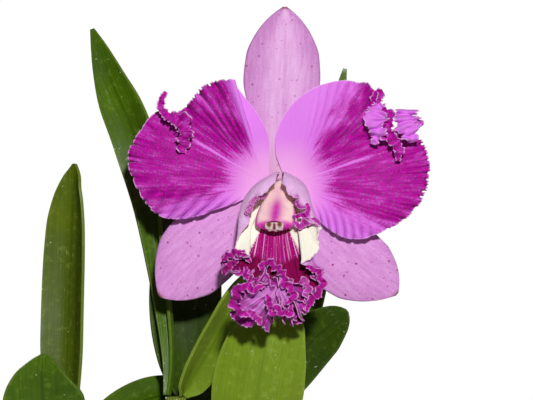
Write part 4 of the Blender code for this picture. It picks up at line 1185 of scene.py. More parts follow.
def anther():
    """A low dome at the column's end, toothed below, with two hollows and a notch painted on."""
    share = np.sin(np.linspace(0, np.pi / 2, 36))[:, None]
    angle = np.linspace(0, 2 * np.pi, 56, endpoint=False)[None, :]
    width, height, length = ANTHER_SIZE
    swell = (0.8 + 0.2 * np.sin(np.pi * share)) * np.sqrt(1.001 - share**4)
    start = column_centre(1.0) - LIP_AXIS * 0.9 + LIP_UP * 1.5
    tooth = 1 + 0.16 * np.cos(9 * angle) * ease(-np.sin(angle), 0.2, 0.8) * ease(share, 0.2, 0.6)
    across = (width * swell * tooth * np.cos(angle))[..., None] * SIDEWAYS
    upwards = (height * swell * tooth * np.sin(angle))[..., None] * LIP_UP
    rings = start + (length * share)[..., None] * LIP_AXIS + across + upwards
    x = rings[..., 0] - start[0]
    z = rings[..., 2] - start[2] + 1.0
    hollow = np.exp(-((((np.abs(x) - 2.5) / 1.4) ** 2 + ((z - 1.2) / 1.7) ** 2) ** 2))
    rim = np.maximum(ease(z, 1.5, 2.3), ease(np.abs(x), 4.0, 4.7))
    notch = np.maximum(np.exp(-((x / 0.8) ** 4)) * ease(z, -1.7, -1.0), rim)
    piece = ring_body("anther_cap_cream", rings, {"hollow": hollow, "notch": notch})
    dress(piece, anther_finish(), "anther", "anther_cap")


column()
anther()

# %% [markdown]
# Leaves are thick, leathery and channelled along a pale midrib.  Each is a sheet that follows a
# path, its halves folded up near its foot.  Their gloss is uneven, with fine lengthwise lines,
# dust and a few scratches, because a leaf lives for years.  Two leaves that lie in the flower's
# shadow take a darker green, which is painted shade.


# %% Leaf finish
def leaf_finish(name, face, dark, pale):
    made = Shader(name, roughness=0.42, specular=0.22)
    uv = made.uv()
    place = made.place()
    lines = made.drawn_out(uv, (26.0, 0.8, 1.0), 3.0, 0.5)
    patches = made.noise(place, 38.0, 3.0, 0.5)
    mottle = made.noise(place, 300.0, 3.0, 0.6)
    dust = made.spots(place, 260.0, 0.12)
    dusty = made.between(made.noise(place, 60.0, 2.0), 0.5, 0.6)
    scratch = made.drawn_out(uv, (46.0, 5.0, 1.0), 1.0)
    scratch = made.times(made.between(scratch, 0.7, 0.76), dusty)
    colour = made.blend(patches, 0.3, 0.7, face, dark, 0.6)
    colour = made.blend(lines, 0.4, 0.65, colour, dark, 0.4)
    colour = made.blend(mottle, 0.5, 0.75, colour, pale, 0.4)
    colour = made.mix(made.times(made.paint("midrib"), 0.75), colour, dark)
    colour = made.mix(made.times(made.paint("rim"), 0.35), colour, pale)
    worn = made.math("ADD", made.times(dust, dusty), made.times(scratch, 0.6))
    made.colour(made.mix(made.times(worn, 0.7), colour, (190, 205, 150)))
    made.roughness(made.between(patches, 0.3, 0.75, 0.34, 0.52))
    made.bump(made.summed((lines, 1), (mottle, 0.4)), 0.4, 0.4)
    made.glow_through(0.02, 1.0, (0.4, 1.0, 0.1))
    return made.material


GREENS = {
    "fresh": ((122, 148, 34), (96, 124, 18), (150, 170, 70)),
    "bright": ((78, 110, 8), (46, 74, 0), (114, 140, 42)),
    "olive": ((92, 110, 18), (62, 80, 6), (126, 142, 56)),
    "deep": ((76, 108, 8), (46, 74, 0), (112, 140, 44)),
    # The dark green is the deep one in painted shade, for the leaves that lie in the flower's shadow.
    "dark": ((56, 80, 6), (32, 52, 0), (88, 112, 32)),
}
LEAF_GREENS = {
    green: leaf_finish(f"leaf {green} green", *tones)
    for green, tones in GREENS.items()
}

# %% Leaf shapes
LEAF_THICK = 1.5
LEAF_EDGE = 0.45
LEAF_GRID = (80, 25)
LEAVES = {
    "leaf_tall": {
        "path": (
            (-14.2, 3, 211.8), (-12.6, 6, 226), (-13.6, 9, 246), (-18.0, 12, 279),
            (-23.5, 13, 312), (-31.0, 11, 341), (-43.5, 6, 370.5), (-53.0, 0, 396.8),
        ),
        "width": (
            (0, 0.15, 0.35, 0.55, 0.7, 0.79, 0.88, 0.95, 1),
            (3.4, 5.5, 8.0, 11.0, 13.0, 12.0, 8.0, 4.2, 1.0),
        ),
        "fold": ((0, 0.45, 0.62, 0.76, 0.9, 1), (64, 62, 44, 22, 14, 0)),
        "face": ((-0.9, -0.6, 0), (-0.2, -1, 0)),
        "green": "bright",
    },
    "leaf_centre": {
        "path": (
            (-7.6, 1.5, 212.3), (1.0, -3, 226.8), (11.7, -10, 245.8), (21.8, -19, 263.7), (31, -27, 279),
        ),
        "width": ((0, 0.1, 0.3, 0.65, 0.8, 0.92, 1), (3.4, 8.5, 11.0, 10.5, 8.5, 4.5, 1.0)),
        "fold": ((0, 0.1, 0.5, 0.9, 1), (62, 40, 26, 24, 0)),
        "face": ((0.6, -0.7, 0.3), (0.45, -0.9, 0.2)),
        "green": "fresh",
    },
    "leaf_front": {
        "path": (
            (25, -21.6, 151), (27, -31, 185), (30.5, -38, 218), (35.6, -41, 245.6), (40.5, -40, 272),
        ),
        "width": (
            (0, 0.12, 0.3, 0.5, 0.62, 0.72, 0.83, 0.92, 0.98, 1),
            (3.4, 9.0, 19.0, 22.8, 21.6, 19.2, 16.0, 10.5, 4.5, 1.0),
        ),
        "fold": ((0, 0.5, 0.9, 1), (45, 16, 10, 0)),
        "face": ((0, 1, -0.15), (0, 1, -0.1)),
        "green": "fresh",
    },
    "leaf_right": {
        "path": (
            (26, -10.9, 151), (28.5, -5, 176), (34, -2.5, 208), (46, -3, 226), (60, -6, 242),
            (75, -12, 255.5),
        ),
        "width": (
            (0, 0.15, 0.4, 0.65, 0.82, 0.93, 0.98, 1),
            (3.4, 6.0, 11.0, 13.5, 12.5, 8.5, 4.5, 1.0),
        ),
        "fold": ((0, 0.4, 0.9, 1), (35, 16, 8, 0)),
        "face": ((0.3, -1, 0.2), (-0.1, -1, 0.2)),
        # Painted shade: this leaf takes the dark green because it lies in shadow.
        "green": "dark",
    },
    "leaf_behind": {
        "path": (
            (2.6, 30, 196.9), (1.5, 26.5, 210), (-5, 24, 232), (-7, 24, 265), (-3, 25, 305),
            (5, 26, 345),
        ),
        "width": ((0, 0.12, 0.3, 0.55, 0.8, 0.93, 1), (3.4, 7.5, 16.0, 19.0, 16.0, 8.0, 1.0)),
        "fold": ((0, 0.6, 0.9, 1), (55, 14, 8, 0)),
        "face": ((0, -1, 0), (0.1, -1, 0.1)),
        # Painted shade: this leaf takes the dark green because it lies in shadow.
        "green": "dark",
    },
    "leaf_low": {
        "path": (
            (-4.4, 31, 197.2), (-10.5, 34, 206.5), (-28, 36, 205.5), (-50, 35, 191), (-72, 33, 165),
        ),
        "width": ((0, 0.15, 0.4, 0.6, 0.8, 0.93, 1), (3.4, 7.0, 12.5, 13.5, 11.0, 6.0, 1.0)),
        "fold": ((0, 0.5, 0.9, 1), (50, 20, 10, 0)),
        "face": ((-0.4, -0.7, 0.8), (0.2, -0.75, 0.8)),
        "green": "deep",
    },
    "leaf_right_back": {
        "path": ((47, 22, 190.5), (50, 24, 232), (56, 26, 280), (66, 27, 330), (75.5, 24, 378.5)),
        "width": ((0, 0.2, 0.5, 0.7, 0.85, 0.94, 1), (3.4, 9.0, 14.0, 11.5, 6.5, 3.0, 1.0)),
        "fold": ((0, 0.6, 0.9, 1), (60, 24, 14, 0)),
        "face": ((-0.1, -1, 0), (0, -1, 0.1)),
        "green": "bright",
    },
    "leaf_left_tall": {
        "path": (
            (-64, -0.5, 160.6), (-66.5, 3, 190), (-66.3, 5, 212), (-65.6, 6, 236),
            (-64.9, 8, 262), (-63.6, 7, 291), (-62.4, 4, 312), (-61.8, 0, 328.8),
        ),
        "width": (
            (0, 0.12, 0.3, 0.45, 0.62, 0.75, 0.85, 0.94, 0.98, 1),
            (3.4, 6.0, 12.0, 14.6, 14.9, 14.0, 11.2, 6.2, 2.8, 1.0),
        ),
        "fold": ((0, 0.2, 0.9, 1), (62, 39, 36, 0)),
        "face": ((-0.3, -0.9, 0), (-0.6, -0.8, 0)),
        "green": "olive",
    },
    "leaf_left_low": {
        "path": (
            (-61.5, -7.4, 161.4), (-65, -12, 172), (-71, -24, 195), (-74, -33, 218), (-73, -38, 236),
        ),
        "width": (
            (0, 0.12, 0.3, 0.5, 0.7, 0.85, 0.94, 0.98, 1),
            (3.4, 9.0, 18.0, 21.0, 20.0, 13.5, 7.0, 3.5, 1.0),
        ),
        "fold": ((0, 0.5, 0.9, 1), (50, 16, 8, 0)),
        "face": ((0.1, -0.9, 0.4), (0, -0.95, 0.3)),
        "green": "deep",
    },
}


# %% Leaf builder
def leaf(name, shape, rows, columns):
    """A blade along a path: its halves turn up from the midrib by the fold angle."""
    path = spline_points(shape["path"], rows)
    along = unit(np.gradient(path, axis=0))
    share = np.linspace(0, 1, rows)[:, None]
    face = np.array(shape["face"][0]) * (1 - share) + np.array(shape["face"][1]) * share
    side = unit(np.cross(along, face))
    face = np.cross(side, along)
    width = through(*shape["width"], share)
    fold = np.radians(through(*shape["fold"], share))
    half = (columns - 1) // 2
    lean = fold * np.minimum(1.0, (np.arange(half) + 0.5) / half * 2.2)
    out = np.cumsum(np.cos(lean), axis=1) * width / half
    up = np.cumsum(np.sin(lean), axis=1) * width / half
    middle = np.zeros_like(width)
    out = np.hstack([-out[:, ::-1], middle, out])
    up = np.hstack([up[:, ::-1], middle, up])
    points = path[:, None, :] + out[..., None] * side[:, None, :] + up[..., None] * face[:, None, :]
    across = np.linspace(-1, 1, columns)[None, :]
    length = np.linalg.norm(np.diff(path, axis=0), axis=1).sum()
    paint = {
        "midrib": np.exp(-((across / 0.045) ** 2)) * (1 - ease(share, 0.85, 1)),
        "rim": ease(np.abs(across), 0.93, 1.0),
    }
    maps = (across * width / 20, share * length / 40)
    piece = sheet(name + "_blade", points, LEAF_THICK, maps, paint)
    edge = piece.modifiers.new("Rounded edge", "BEVEL")
    edge.width = LEAF_EDGE * MM
    edge.segments = 2
    edge.angle_limit = math.radians(50)
    dress(piece, LEAF_GREENS[shape["green"]], "leaf", name)


for leaf_name, leaf_shape in LEAVES.items():
    leaf(leaf_name, leaf_shape, *LEAF_GRID)

# %% [markdown]
# Below the flower the plant repeats itself: swollen stems, creeping roots and loose chips of bark.
# Such forms follow a path or fill a surface, so Geometry Nodes make them.  A tree is built once,
# with named sizes, and each piece is baked to a plain mesh.  Modelling every chip by hand would
# give each its own character, but changing their size later would mean starting again.


# %% Recipe helpers
class Recipe:
    """A Geometry Nodes tree with named sizes, built with short calls."""

    def __init__(self, name, **sizes):
        self.tree = bpy.data.node_groups.new(name, "GeometryNodeTree")
        sockets = self.tree.interface
        sockets.new_socket("Geometry", in_out="INPUT", socket_type="NodeSocketGeometry")
        sockets.new_socket("Geometry", in_out="OUTPUT", socket_type="NodeSocketGeometry")
        for label, value in sizes.items():
            kind = {int: "Int", float: "Float", tuple: "Vector"}[type(value)]
            made = sockets.new_socket(
                label.replace("_", " "), in_out="INPUT", socket_type="NodeSocket" + kind
            )
            made.default_value = value
        self.start = self.tree.nodes.new("NodeGroupInput")

    def size(self, label):
        return self.start.outputs[label]

    def add(self, kind, values, **settings):
        """Adds a node, sets or links its inputs, and gives back the node."""
        node = self.tree.nodes.new(kind)
        for key, value in settings.items():
            setattr(node, key, value)
        for key, value in values.items():
            if isinstance(value, bpy.types.NodeSocket):
                self.tree.links.new(value, node.inputs[key])
            else:
                node.inputs[key].default_value = value
        return node

    def math(self, operation, a, b=0.0):
        return self.add("ShaderNodeMath", {0: a, 1: b}, operation=operation).outputs[0]

    def times(self, a, b):
        return self.math("MULTIPLY", a, b)

    def vector(self, operation, a, b):
        key = 3 if operation == "SCALE" else 1
        return self.add("ShaderNodeVectorMath", {0: a, key: b}, operation=operation).outputs[0]

    def mixed(self, factor, a, b):
        made = self.add("ShaderNodeMix", {0: factor, 4: a, 5: b}, data_type="VECTOR")
        return made.outputs[1]

    def place(self):
        return self.add("GeometryNodeInputPosition", {}).outputs[0]

    def normal(self):
        return self.add("GeometryNodeInputNormal", {}).outputs[0]

    def parts(self, vector):
        return self.add("ShaderNodeSeparateXYZ", {"Vector": vector}).outputs

    def noise(self, scale, seed, detail):
        values = {"Vector": self.place(), "W": seed, "Scale": scale, "Detail": detail}
        return self.add("ShaderNodeTexNoise", values, noise_dimensions="4D")

    def named(self, label):
        return self.add("GeometryNodeInputNamedAttribute", {"Name": label}, data_type="FLOAT").outputs[0]

    def store(self, geometry, label, value, domain="POINT"):
        values = {"Geometry": geometry, "Name": label, "Value": value}
        node = self.add("GeometryNodeStoreNamedAttribute", values, data_type="FLOAT", domain=domain)
        return node.outputs[0]

    def moved(self, geometry, **values):
        """The geometry with its points set to a position, or pushed by an offset."""
        return self.add("GeometryNodeSetPosition", {"Geometry": geometry, **values}).outputs[0]

    def roughened(self, geometry, scale, amount, seed, detail):
        """Pushes the surface out and in along its normals by a noise."""
        bumps = self.math("SUBTRACT", self.noise(scale, seed, detail).outputs["Fac"], 0.5)
        offset = self.vector("SCALE", self.normal(), self.times(bumps, amount))
        return self.moved(geometry, Offset=offset)

    def random(self, low, high, seed):
        values = {"Min": low, "Max": high, "Seed": seed}
        return self.add("FunctionNodeRandomValue", values, data_type="FLOAT_VECTOR").outputs["Value"]

    def finish(self, geometry, material):
        whole = self.add("GeometryNodeRealizeInstances", {"Geometry": geometry}).outputs[0]
        smooth = self.add("GeometryNodeSetShadeSmooth", {"Geometry": whole}).outputs[0]
        coated = self.add("GeometryNodeSetMaterial", {"Geometry": smooth, "Material": material})
        end = self.tree.nodes.new("NodeGroupOutput")
        self.tree.links.new(coated.outputs[0], end.inputs[0])
        return self


# %% Baking helpers
def line_mesh(name, paths, radii, paint):
    """Paths of points in millimetres as edges, with a radius in metres at each point."""
    verts, edges = [], []
    for path in paths:
        start = len(verts)
        verts += (np.asarray(path) * MM).tolist()
        edges += [(k, k + 1) for k in range(start, len(verts) - 1)]
    mesh = bpy.data.meshes.new(name)
    mesh.from_pydata(verts, edges, [])
    for key, values in {"thick": radii, **paint}.items():
        paint_points(mesh, key, np.concatenate(values))
    return mesh


def baked(name, base_mesh, recipe, **sizes):
    """Runs a recipe on a base mesh and keeps the result as a plain mesh."""
    base = placed(name + "_base", base_mesh)
    modifier = base.modifiers.new("Recipe", "NODES")
    modifier.node_group = recipe.tree
    wanted = {label.replace("_", " "): value for label, value in sizes.items()}
    for item in recipe.tree.interface.items_tree:
        if item.in_out == "INPUT" and item.name in wanted:
            modifier[item.identifier] = wanted[item.name]
    graph = bpy.context.evaluated_depsgraph_get()
    result = base.evaluated_get(graph)
    mesh = bpy.data.meshes.new_from_object(result, preserve_all_data_layers=True, depsgraph=graph)
    bpy.data.objects.remove(base, do_unlink=True)
    mesh.name = name
    return placed(name, mesh)


# %% [markdown]
# A cattleya stores water in its pseudobulbs.  These are green spindles with long furrows between
# ridges, and each is wrapped at its foot in a dry, papery bract that tears at its top.  One tree
# shapes a unit cylinder into both: the spindle, and an open sleeve just outside it.


# %% Pseudobulb finishes
def bulb_finish():
    made = Shader("bulb waxy green", roughness=0.42, specular=0.4)
    place = made.place()
    share = made.paint("share")
    streaks = made.drawn_out(place, (420.0, 420.0, 26.0), 4.0, 0.6)
    green = made.blend(streaks, 0.35, 0.7, (74, 104, 18), (128, 148, 44))
    green = made.blend(share, 0.75, 1.0, green, (150, 160, 62), 0.5)
    valley = made.blend(made.paint("furrow"), 0.25, 0.95, green, (44, 64, 14), 0.75)
    patches = made.between(made.noise(place, 55.0), 0.5, 0.7)
    tanned = made.times(patches, made.between(share, 0.5, 0.1))
    colour = made.mix(tanned, valley, (140, 112, 58))
    specks = made.spots(place, 620.0, 0.2)
    made.colour(made.mix(made.times(specks, 0.5), colour, (60, 44, 22)))
    made.roughness(made.between(streaks, 0.3, 0.75, 0.36, 0.56))
    made.bump(streaks, 0.25, 0.3)
    made.glow_through(0.06, 0.8, (0.6, 1.0, 0.2))
    return made.material


def bract_finish():
    made = Shader("bract papery tan", roughness=0.8, specular=0.2)
    place = made.place()
    fibres = made.drawn_out(place, (900.0, 900.0, 34.0), 4.0, 0.65)
    paper = made.blend(fibres, 0.3, 0.7, (150, 124, 82), (222, 206, 168))
    blots = made.noise(place, 130.0, 4.0)
    paper = made.blend(blots, 0.54, 0.7, paper, (104, 74, 42), 0.75)
    paper = made.blend(made.paint("share"), 0.2, 0.02, paper, (88, 62, 36), 0.7)
    made.colour(paper)
    made.roughness(made.between(fibres, 0.3, 0.7, 0.7, 0.92))
    made.bump(fibres, 0.6, 0.3)
    return made.material


BULB_FINISH, BRACT_FINISH = bulb_finish(), bract_finish()

# %% Pseudobulb recipe
BULB_FOOT_LEVEL = 105.5
BULB_TOP_WIDTH = 5.2
BULB_OUTLINE = ((0.0, 0.08, 0.3, 0.6, 0.85, 1.0), (0.42, 0.5, 0.86, 1.0, 0.72, 0.0))
BULB_RIDGES = 11.0
BULB_RIDGE_LEVEL = 0.35
BULB_FLATNESS = 0.9
BULB_VERTICES, BULB_SEGMENTS = 100, 80
BRACT_THICK = 0.3
BULBS = {
    "pseudobulb_front": ((24, -20), (25, -18, 150), 10.0, 0.45),
    "pseudobulb_tall": ((-6, 4), (-11, 3, 211), 9.5, 0.36),
    "pseudobulb_behind": ((4, 32), (-1, 30, 196), 9.0, 0.5),
    "pseudobulb_left": ((-40, -6), (-62, -4, 160), 8.5, 0.42),
    "pseudobulb_right": ((36, 22), (47, 22, 190), 8.5, 0.3),
}


def spindle_recipe(label, material, sleeve):
    """A unit cylinder bent to a spindle, or to the torn sleeve round its foot."""
    made = Recipe(
        label, Foot=(0.0, 0.0, 0.0), Top=(0.0, 0.0, 0.1), Swell=0.01, Top_width=0.005,
        Ridges=BULB_RIDGES, Furrow=0.1, Clearance=0.0, Torn_at=1.0, Seed=1.0,
    )
    size = {"Vertices": BULB_VERTICES, "Side Segments": BULB_SEGMENTS, "Radius": 1.0, "Depth": 1.0}
    fill = "NONE" if sleeve else "TRIANGLE_FAN"
    unit_body = made.add("GeometryNodeMeshCylinder", size, fill_type=fill).outputs["Mesh"]
    x, y, z = made.parts(made.place())
    share = made.math("ADD", z, 0.5)
    curve = made.add("ShaderNodeFloatCurve", {"Factor": 1.0, "Value": share})
    points = curve.mapping.curves[0].points
    outline = list(zip(*BULB_OUTLINE))
    points[0].location, points[-1].location = outline[0], outline[-1]
    for at, wide in outline[1:-1]:
        points.new(at, wide)
    curve.mapping.update()
    least = made.times(made.size("Top width"), made.math("GREATER_THAN", share, 0.5))
    width = made.math("MAXIMUM", made.times(curve.outputs[0], made.size("Swell")), least)
    angle = made.math("ARCTAN2", y, x)
    wave = made.math("COSINE", made.times(angle, made.size("Ridges")))
    hump = made.math("SINE", made.times(share, math.pi))
    crest = made.math("POWER", made.math("ABSOLUTE", wave), 1.6)
    sharp = made.math("SUBTRACT", crest, BULB_RIDGE_LEVEL)
    ridge = made.times(made.times(sharp, hump), made.size("Furrow"))
    width = made.times(width, made.math("ADD", 1.0, ridge))
    width = made.math("ADD", width, made.size("Clearance"))
    values = {"X": x, "Y": made.times(y, BULB_FLATNESS), "Z": 0.0}
    flat = made.add("ShaderNodeCombineXYZ", values).outputs[0]
    centre = made.mixed(share, made.size("Foot"), made.size("Top"))
    target = made.vector("ADD", centre, made.vector("SCALE", flat, width))
    kept = made.store(unit_body, "share", share)
    depth = made.math("SUBTRACT", 1.0, crest)
    body = made.moved(made.store(kept, "furrow", depth), Position=target)
    body = made.roughened(body, 120.0, 0.0008, made.size("Seed"), 2.0)
    if sleeve:
        tear = made.times(made.noise(60.0, made.size("Seed"), 6.0).outputs["Fac"], 0.5)
        limit = made.math("ADD", made.math("SUBTRACT", made.size("Torn at"), 0.25), tear)
        over = made.math("GREATER_THAN", made.named("share"), limit)
        body = made.add("GeometryNodeDeleteGeometry", {"Geometry": body, "Selection": over}).outputs[0]
    return made.finish(body, material)


# %% Pseudobulbs
def pseudobulbs():
    """Five bulbs and their bracts, each from the same two trees with its own sizes."""
    spindle = spindle_recipe("Pseudobulb spindle", BULB_FINISH, False)
    sleeve = spindle_recipe("Bract sleeve", BRACT_FINISH, True)
    for seed, (name, (foot, top, swell, torn)) in enumerate(BULBS.items()):
        shape = {
            "Foot": tuple(v * MM for v in (*foot, BULB_FOOT_LEVEL)),
            "Top": tuple(v * MM for v in top),
            "Swell": swell * MM,
            "Top_width": BULB_TOP_WIDTH * MM,
            "Seed": float(seed),
        }
        empty = bpy.data.meshes.new(name + "_start")
        settle(baked(name + "_furrowed", empty, spindle, Furrow=0.13, **shape), "bulb", name)
        shape.update(Furrow=0.05, Clearance=0.0007, Torn_at=torn)
        paper = baked(name + "_bract", empty, sleeve, **shape)
        skin = paper.modifiers.new("Thickness", "SOLIDIFY")
        skin.thickness = BRACT_THICK * MM
        skin.offset = 1.0
        settle(paper, "bract")


pseudobulbs()

# %% [markdown]
# The rhizome creeps over the bark, ringed by old scars, and sends out roots in a white, spongy
# coat with green growing tips.  One tree sweeps a ring along any path: the rhizome, its roots and
# the flower's stem differ only in their named sizes.


# %% Root and stem finishes
def root_finish():
    made = Shader("root spongy white", roughness=0.85, specular=0.2)
    place = made.place()
    coat = made.noise(place, 260.0, 5.0, 0.65)
    colour = made.blend(coat, 0.3, 0.7, (150, 146, 124), (214, 212, 196))
    woody = made.blend(coat, 0.3, 0.7, (70, 60, 26), (122, 116, 58))
    colour = made.mix(made.paint("woody"), colour, woody)
    colour = made.blend(made.paint("tip"), 0.3, 0.9, colour, (98, 136, 52))
    stains = made.noise(place, 70.0, 3.0)
    colour = made.blend(stains, 0.55, 0.72, colour, (96, 78, 50), 0.6)
    scars = made.times(made.between(made.paint("ring"), 0.6, 1.0), made.paint("woody"))
    made.colour(made.mix(scars, colour, (176, 156, 112)))
    made.roughness(made.between(coat, 0.3, 0.7, 0.75, 0.95))
    made.bump(coat, 0.5, 0.25)
    return made.material


def stem_finish():
    made = Shader("stem smooth green", roughness=0.4, specular=0.4)
    place = made.place()
    streaks = made.drawn_out(place, (700.0, 700.0, 30.0), 3.0)
    colour = made.blend(streaks, 0.3, 0.7, (84, 118, 22), (134, 158, 60))
    colour = made.blend(made.paint("tip"), 0.3, 1.0, colour, (206, 160, 176), 0.8)
    specks = made.times(made.spots(place, 900.0, 0.2), 0.6)
    made.colour(made.mix(specks, colour, (110, 60, 60)))
    made.roughness(made.between(streaks, 0.3, 0.7, 0.34, 0.5))
    made.bump(streaks, 0.2, 0.2)
    made.glow_through(0.1, 1.0, (0.7, 1.0, 0.3))
    return made.material


# %% Swept path recipe
def swept_recipe(label, material):
    """A ring swept along each path of the base, with scars at even steps and rough skin."""
    made = Recipe(
        label, Step=0.0008, Sides=16, Ribs=6.0, Rib_depth=0.0, Scar_step=0.007, Scar_height=0.08,
        Roughness=0.0005, Grain=200.0, Seed=2.0,
    )
    paths = made.add("GeometryNodeMeshToCurve", {"Mesh": made.start.outputs[0]}).outputs[0]
    values = {"Curve": paths, "Length": made.size("Step")}
    fine = made.add("GeometryNodeResampleCurve", values, mode="LENGTH").outputs[0]
    length = made.add("GeometryNodeSplineParameter", {}).outputs["Length"]
    turns = made.times(made.math("DIVIDE", length, made.size("Scar step")), math.tau)
    ring = made.math("ABSOLUTE", made.math("COSINE", made.times(turns, 0.5)))
    ring = made.math("POWER", ring, 14.0)
    marked = made.store(fine, "ring", ring)
    swollen = made.math("ADD", 1.0, made.times(ring, made.size("Scar height")))
    radius = made.times(made.named("thick"), swollen)
    values = {"Resolution": made.size("Sides"), "Radius": 1.0}
    section = made.add("GeometryNodeCurvePrimitiveCircle", values).outputs[0]
    place = made.place()
    across = made.parts(place)
    angle = made.math("ARCTAN2", across["Y"], across["X"])
    wave = made.math("COSINE", made.times(angle, made.size("Ribs")))
    ribbed = made.math("ADD", 1.0, made.times(wave, made.size("Rib depth")))
    section = made.moved(section, Position=made.vector("SCALE", place, ribbed))
    values = {"Curve": marked, "Profile Curve": section, "Scale": radius, "Fill Caps": True}
    body = made.add("GeometryNodeCurveToMesh", values).outputs[0]
    body = made.roughened(body, made.size("Grain"), made.size("Roughness"), made.size("Seed"), 3.0)
    return made.finish(body, material)


# %% Rhizome, roots and stem
RHIZOME_RADIUS = 4.6
ROOT_RADIUS = 1.7
RHIZOME_PATHS = (
    (
        (-50, -8, 95), (-40, -6, 97), (-22, 0, 97.5), (-6, 4, 97), (10, -6, 97.5), (24, -20, 97),
        (31, -27, 94),
    ),
    ((-8, 4, 97), (0, 20, 97.5), (4, 32, 97), (20, 31, 97.5), (36, 22, 97), (44, 16, 94)),
)
ROOT_PATHS = (
    (
        (-43, -5, 97.4), (-50, -22, 99), (-58, -38, 107), (-62, -44, 108), (-66, -47, 98),
        (-63, -46, 78), (-58, -48, 60),
    ),
    (
        (25, -22, 96.6), (34, -36, 100), (40, -48, 107), (46, -58, 108), (49, -64, 98), (46, -61, 78),
        (48, -56, 66),
    ),
    (
        (38, 23, 97.8), (50, 30, 101), (59, 34, 107), (66, 36, 108), (71, 40, 98), (66, 41, 80),
        (63, 45, 58),
    ),
    ((3, 33, 96.4), (-8, 44, 101), (-24, 46, 97), (-34, 42, 86)),
    ((-8, 2, 97.6), (-16, -14, 100), (-14, -30, 98), (-4, -40, 86)),
    ((-39, -5, 96.2), (-46, 10, 100), (-42, 26, 98), (-36, 34, 86)),
    ((26, -19, 97.9), (40, -16, 101), (50, -6, 98), (52, 6, 86)),
)
STEM_PATH = (
    (25, -16.6, 150.6), (28, -15, 190), (32, -10, 235), (37, -4, 275), (41, -1, 300),
    (42.5, -4, 313), (42, -14, 318),
)
STEM_RADII = ((0.0, 0.7, 0.85, 1.0), (1.9, 1.9, 2.6, 3.9))
STEM_KNOB_RADIUS = 4.6


def rhizome():
    """The rhizome's branches, the roots and a short collar under each bulb, swept as one."""
    paths, radii, woody, tips = [], [], [], []
    share = np.linspace(0, 1, 60)
    taper = 0.45 + 0.55 * np.minimum(1, np.minimum(share, 1 - share) * 9)
    for k, path in enumerate(RHIZOME_PATHS + ROOT_PATHS):
        thick = RHIZOME_RADIUS - 0.4 * k if k < 2 else ROOT_RADIUS
        paths.append(spline_points(path, len(share)))
        radii.append(thick * MM * taper)
        woody.append(np.full(len(share), 1.0 if k < 2 else 0.0))
        tips.append(ease(share, 0.8, 1.0) * (k >= 2))
    for foot, _top, _swell, _torn in BULBS.values():
        paths.append([(*foot, 95.5), (*foot, 100.5), (*foot, 105.4)])
        radii.append(np.array([5.4, 4.8, 4.1]) * MM)
        woody.append(np.ones(3))
        tips.append(np.zeros(3))
    base = line_mesh("creeping paths", paths, radii, {"woody": woody, "tip": tips})
    recipe = swept_recipe("Swept root", root_finish())
    sizes = {"Step": 0.0009, "Scar_height": 0.1, "Grain": 240.0, "Roughness": 0.0011}
    settle(baked("rhizome_ringed", base, recipe, **sizes), "root", "rhizome_and_roots")


def stem():
    """The flower's stem, which swells to the ovary and ends in a knob behind the petals."""
    share = np.linspace(0, 1, 90)
    path = np.vstack([spline_points(STEM_PATH, len(share)), FLOWER_CENTRE + np.array([0, 0.3, 0])])
    radii = np.append(through(*STEM_RADII, share), STEM_KNOB_RADIUS) * MM
    tips = np.append(ease(share, 0.6, 1.0), 1.0)
    base = line_mesh("stem path", [path], [radii], {"tip": [tips]})
    recipe = swept_recipe("Swept stem", stem_finish())
    sizes = {"Sides": 48, "Rib_depth": 0.05, "Scar_step": 0.058, "Scar_height": 0.16}
    sizes["Roughness"] = 0.0002
    settle(baked("stem_ribbed", base, recipe, **sizes), "stem", "flower_stem")


rhizome()
stem()

# %% [markdown]
# A flower bud of this plant pushes up through a flat green sheath, which dries and splits as the
# stem leaves it.  It is a rolled blade, longer at its back, with a torn and wrinkled top edge.

# %% Flower sheath
SHEATH_LENGTH = 40.0
SHEATH_RADII = ((0.0, 0.4, 0.8, 1.0), (2.65, 3.5, 3.4, 3.0))
SHEATH_THICK = 0.45
SHEATH_GRID = (50, 140)


def sheath(rows, columns):
    """A blade rolled most of the way round the stem, which it follows upwards."""
    share = np.linspace(0, 1, rows)[:, None]
    turn = np.linspace(-150, 150, columns)[None, :]
    angle = np.radians(turn)
    crease = uneven(turn[0], 34.0, 6)[0]
    radius = through(*SHEATH_RADII, share) + 0.22 * crease * ease(share, 0.15, 0.9)
    torn = uneven(turn[0], 13.0, 11)[0]
    top = SHEATH_LENGTH * (0.71 + 0.28 * np.cos(angle) + 0.012 * torn)
    foot, above = STEM_PATH[:2]
    level = foot[2] + 0.1 + top * share
    lean = (level - foot[2]) / (above[2] - foot[2])
    x = foot[0] + (above[0] - foot[0]) * lean + radius * np.sin(angle)
    y = foot[1] + (above[1] - foot[1]) * lean + radius * np.cos(angle)
    points = np.stack([x, y, level], axis=-1)
    paint = {"share": 0.15 + 0.85 * share}
    piece = sheet("sheath_papery", points, SHEATH_THICK, (turn / 60, share), paint)
    dress(piece, BRACT_FINISH, "bract", "flower_sheath")


sheath(*SHEATH_GRID)

# %% [markdown]
# Orchids grow in chips of fir bark, not in soil.  Each chip is a small block, rounded by a noise,
# that is scattered over a dome and turned at random, with one fixed seed.  The dome under them is
# the dark mass that shows between the chips.


# %% Bark finish
def bark_finish():
    made = Shader("bark chips brown", roughness=0.92, specular=0.15)
    place = made.place()
    shade = made.paint("shade")
    grain = made.drawn_out(place, (160.0, 520.0, 420.0), 5.0, 0.65)
    pale = made.mix(shade, (150, 104, 66), (96, 62, 38))
    colour = made.blend(grain, 0.32, 0.68, (44, 28, 18), pale)
    flakes = made.between(made.noise(place, 150.0, 4.0), 0.56, 0.7, 0.0, 0.7)
    colour = made.mix(flakes, colour, (182, 148, 112))
    damp = made.between(made.noise(place, 28.0, 2.0), 0.45, 0.65, 0.0, 0.55)
    made.colour(made.mix(damp, colour, (38, 24, 16)))
    made.roughness(made.between(grain, 0.3, 0.7, 0.8, 1.0))
    made.bump(grain, 0.8, 0.5)
    return made.material


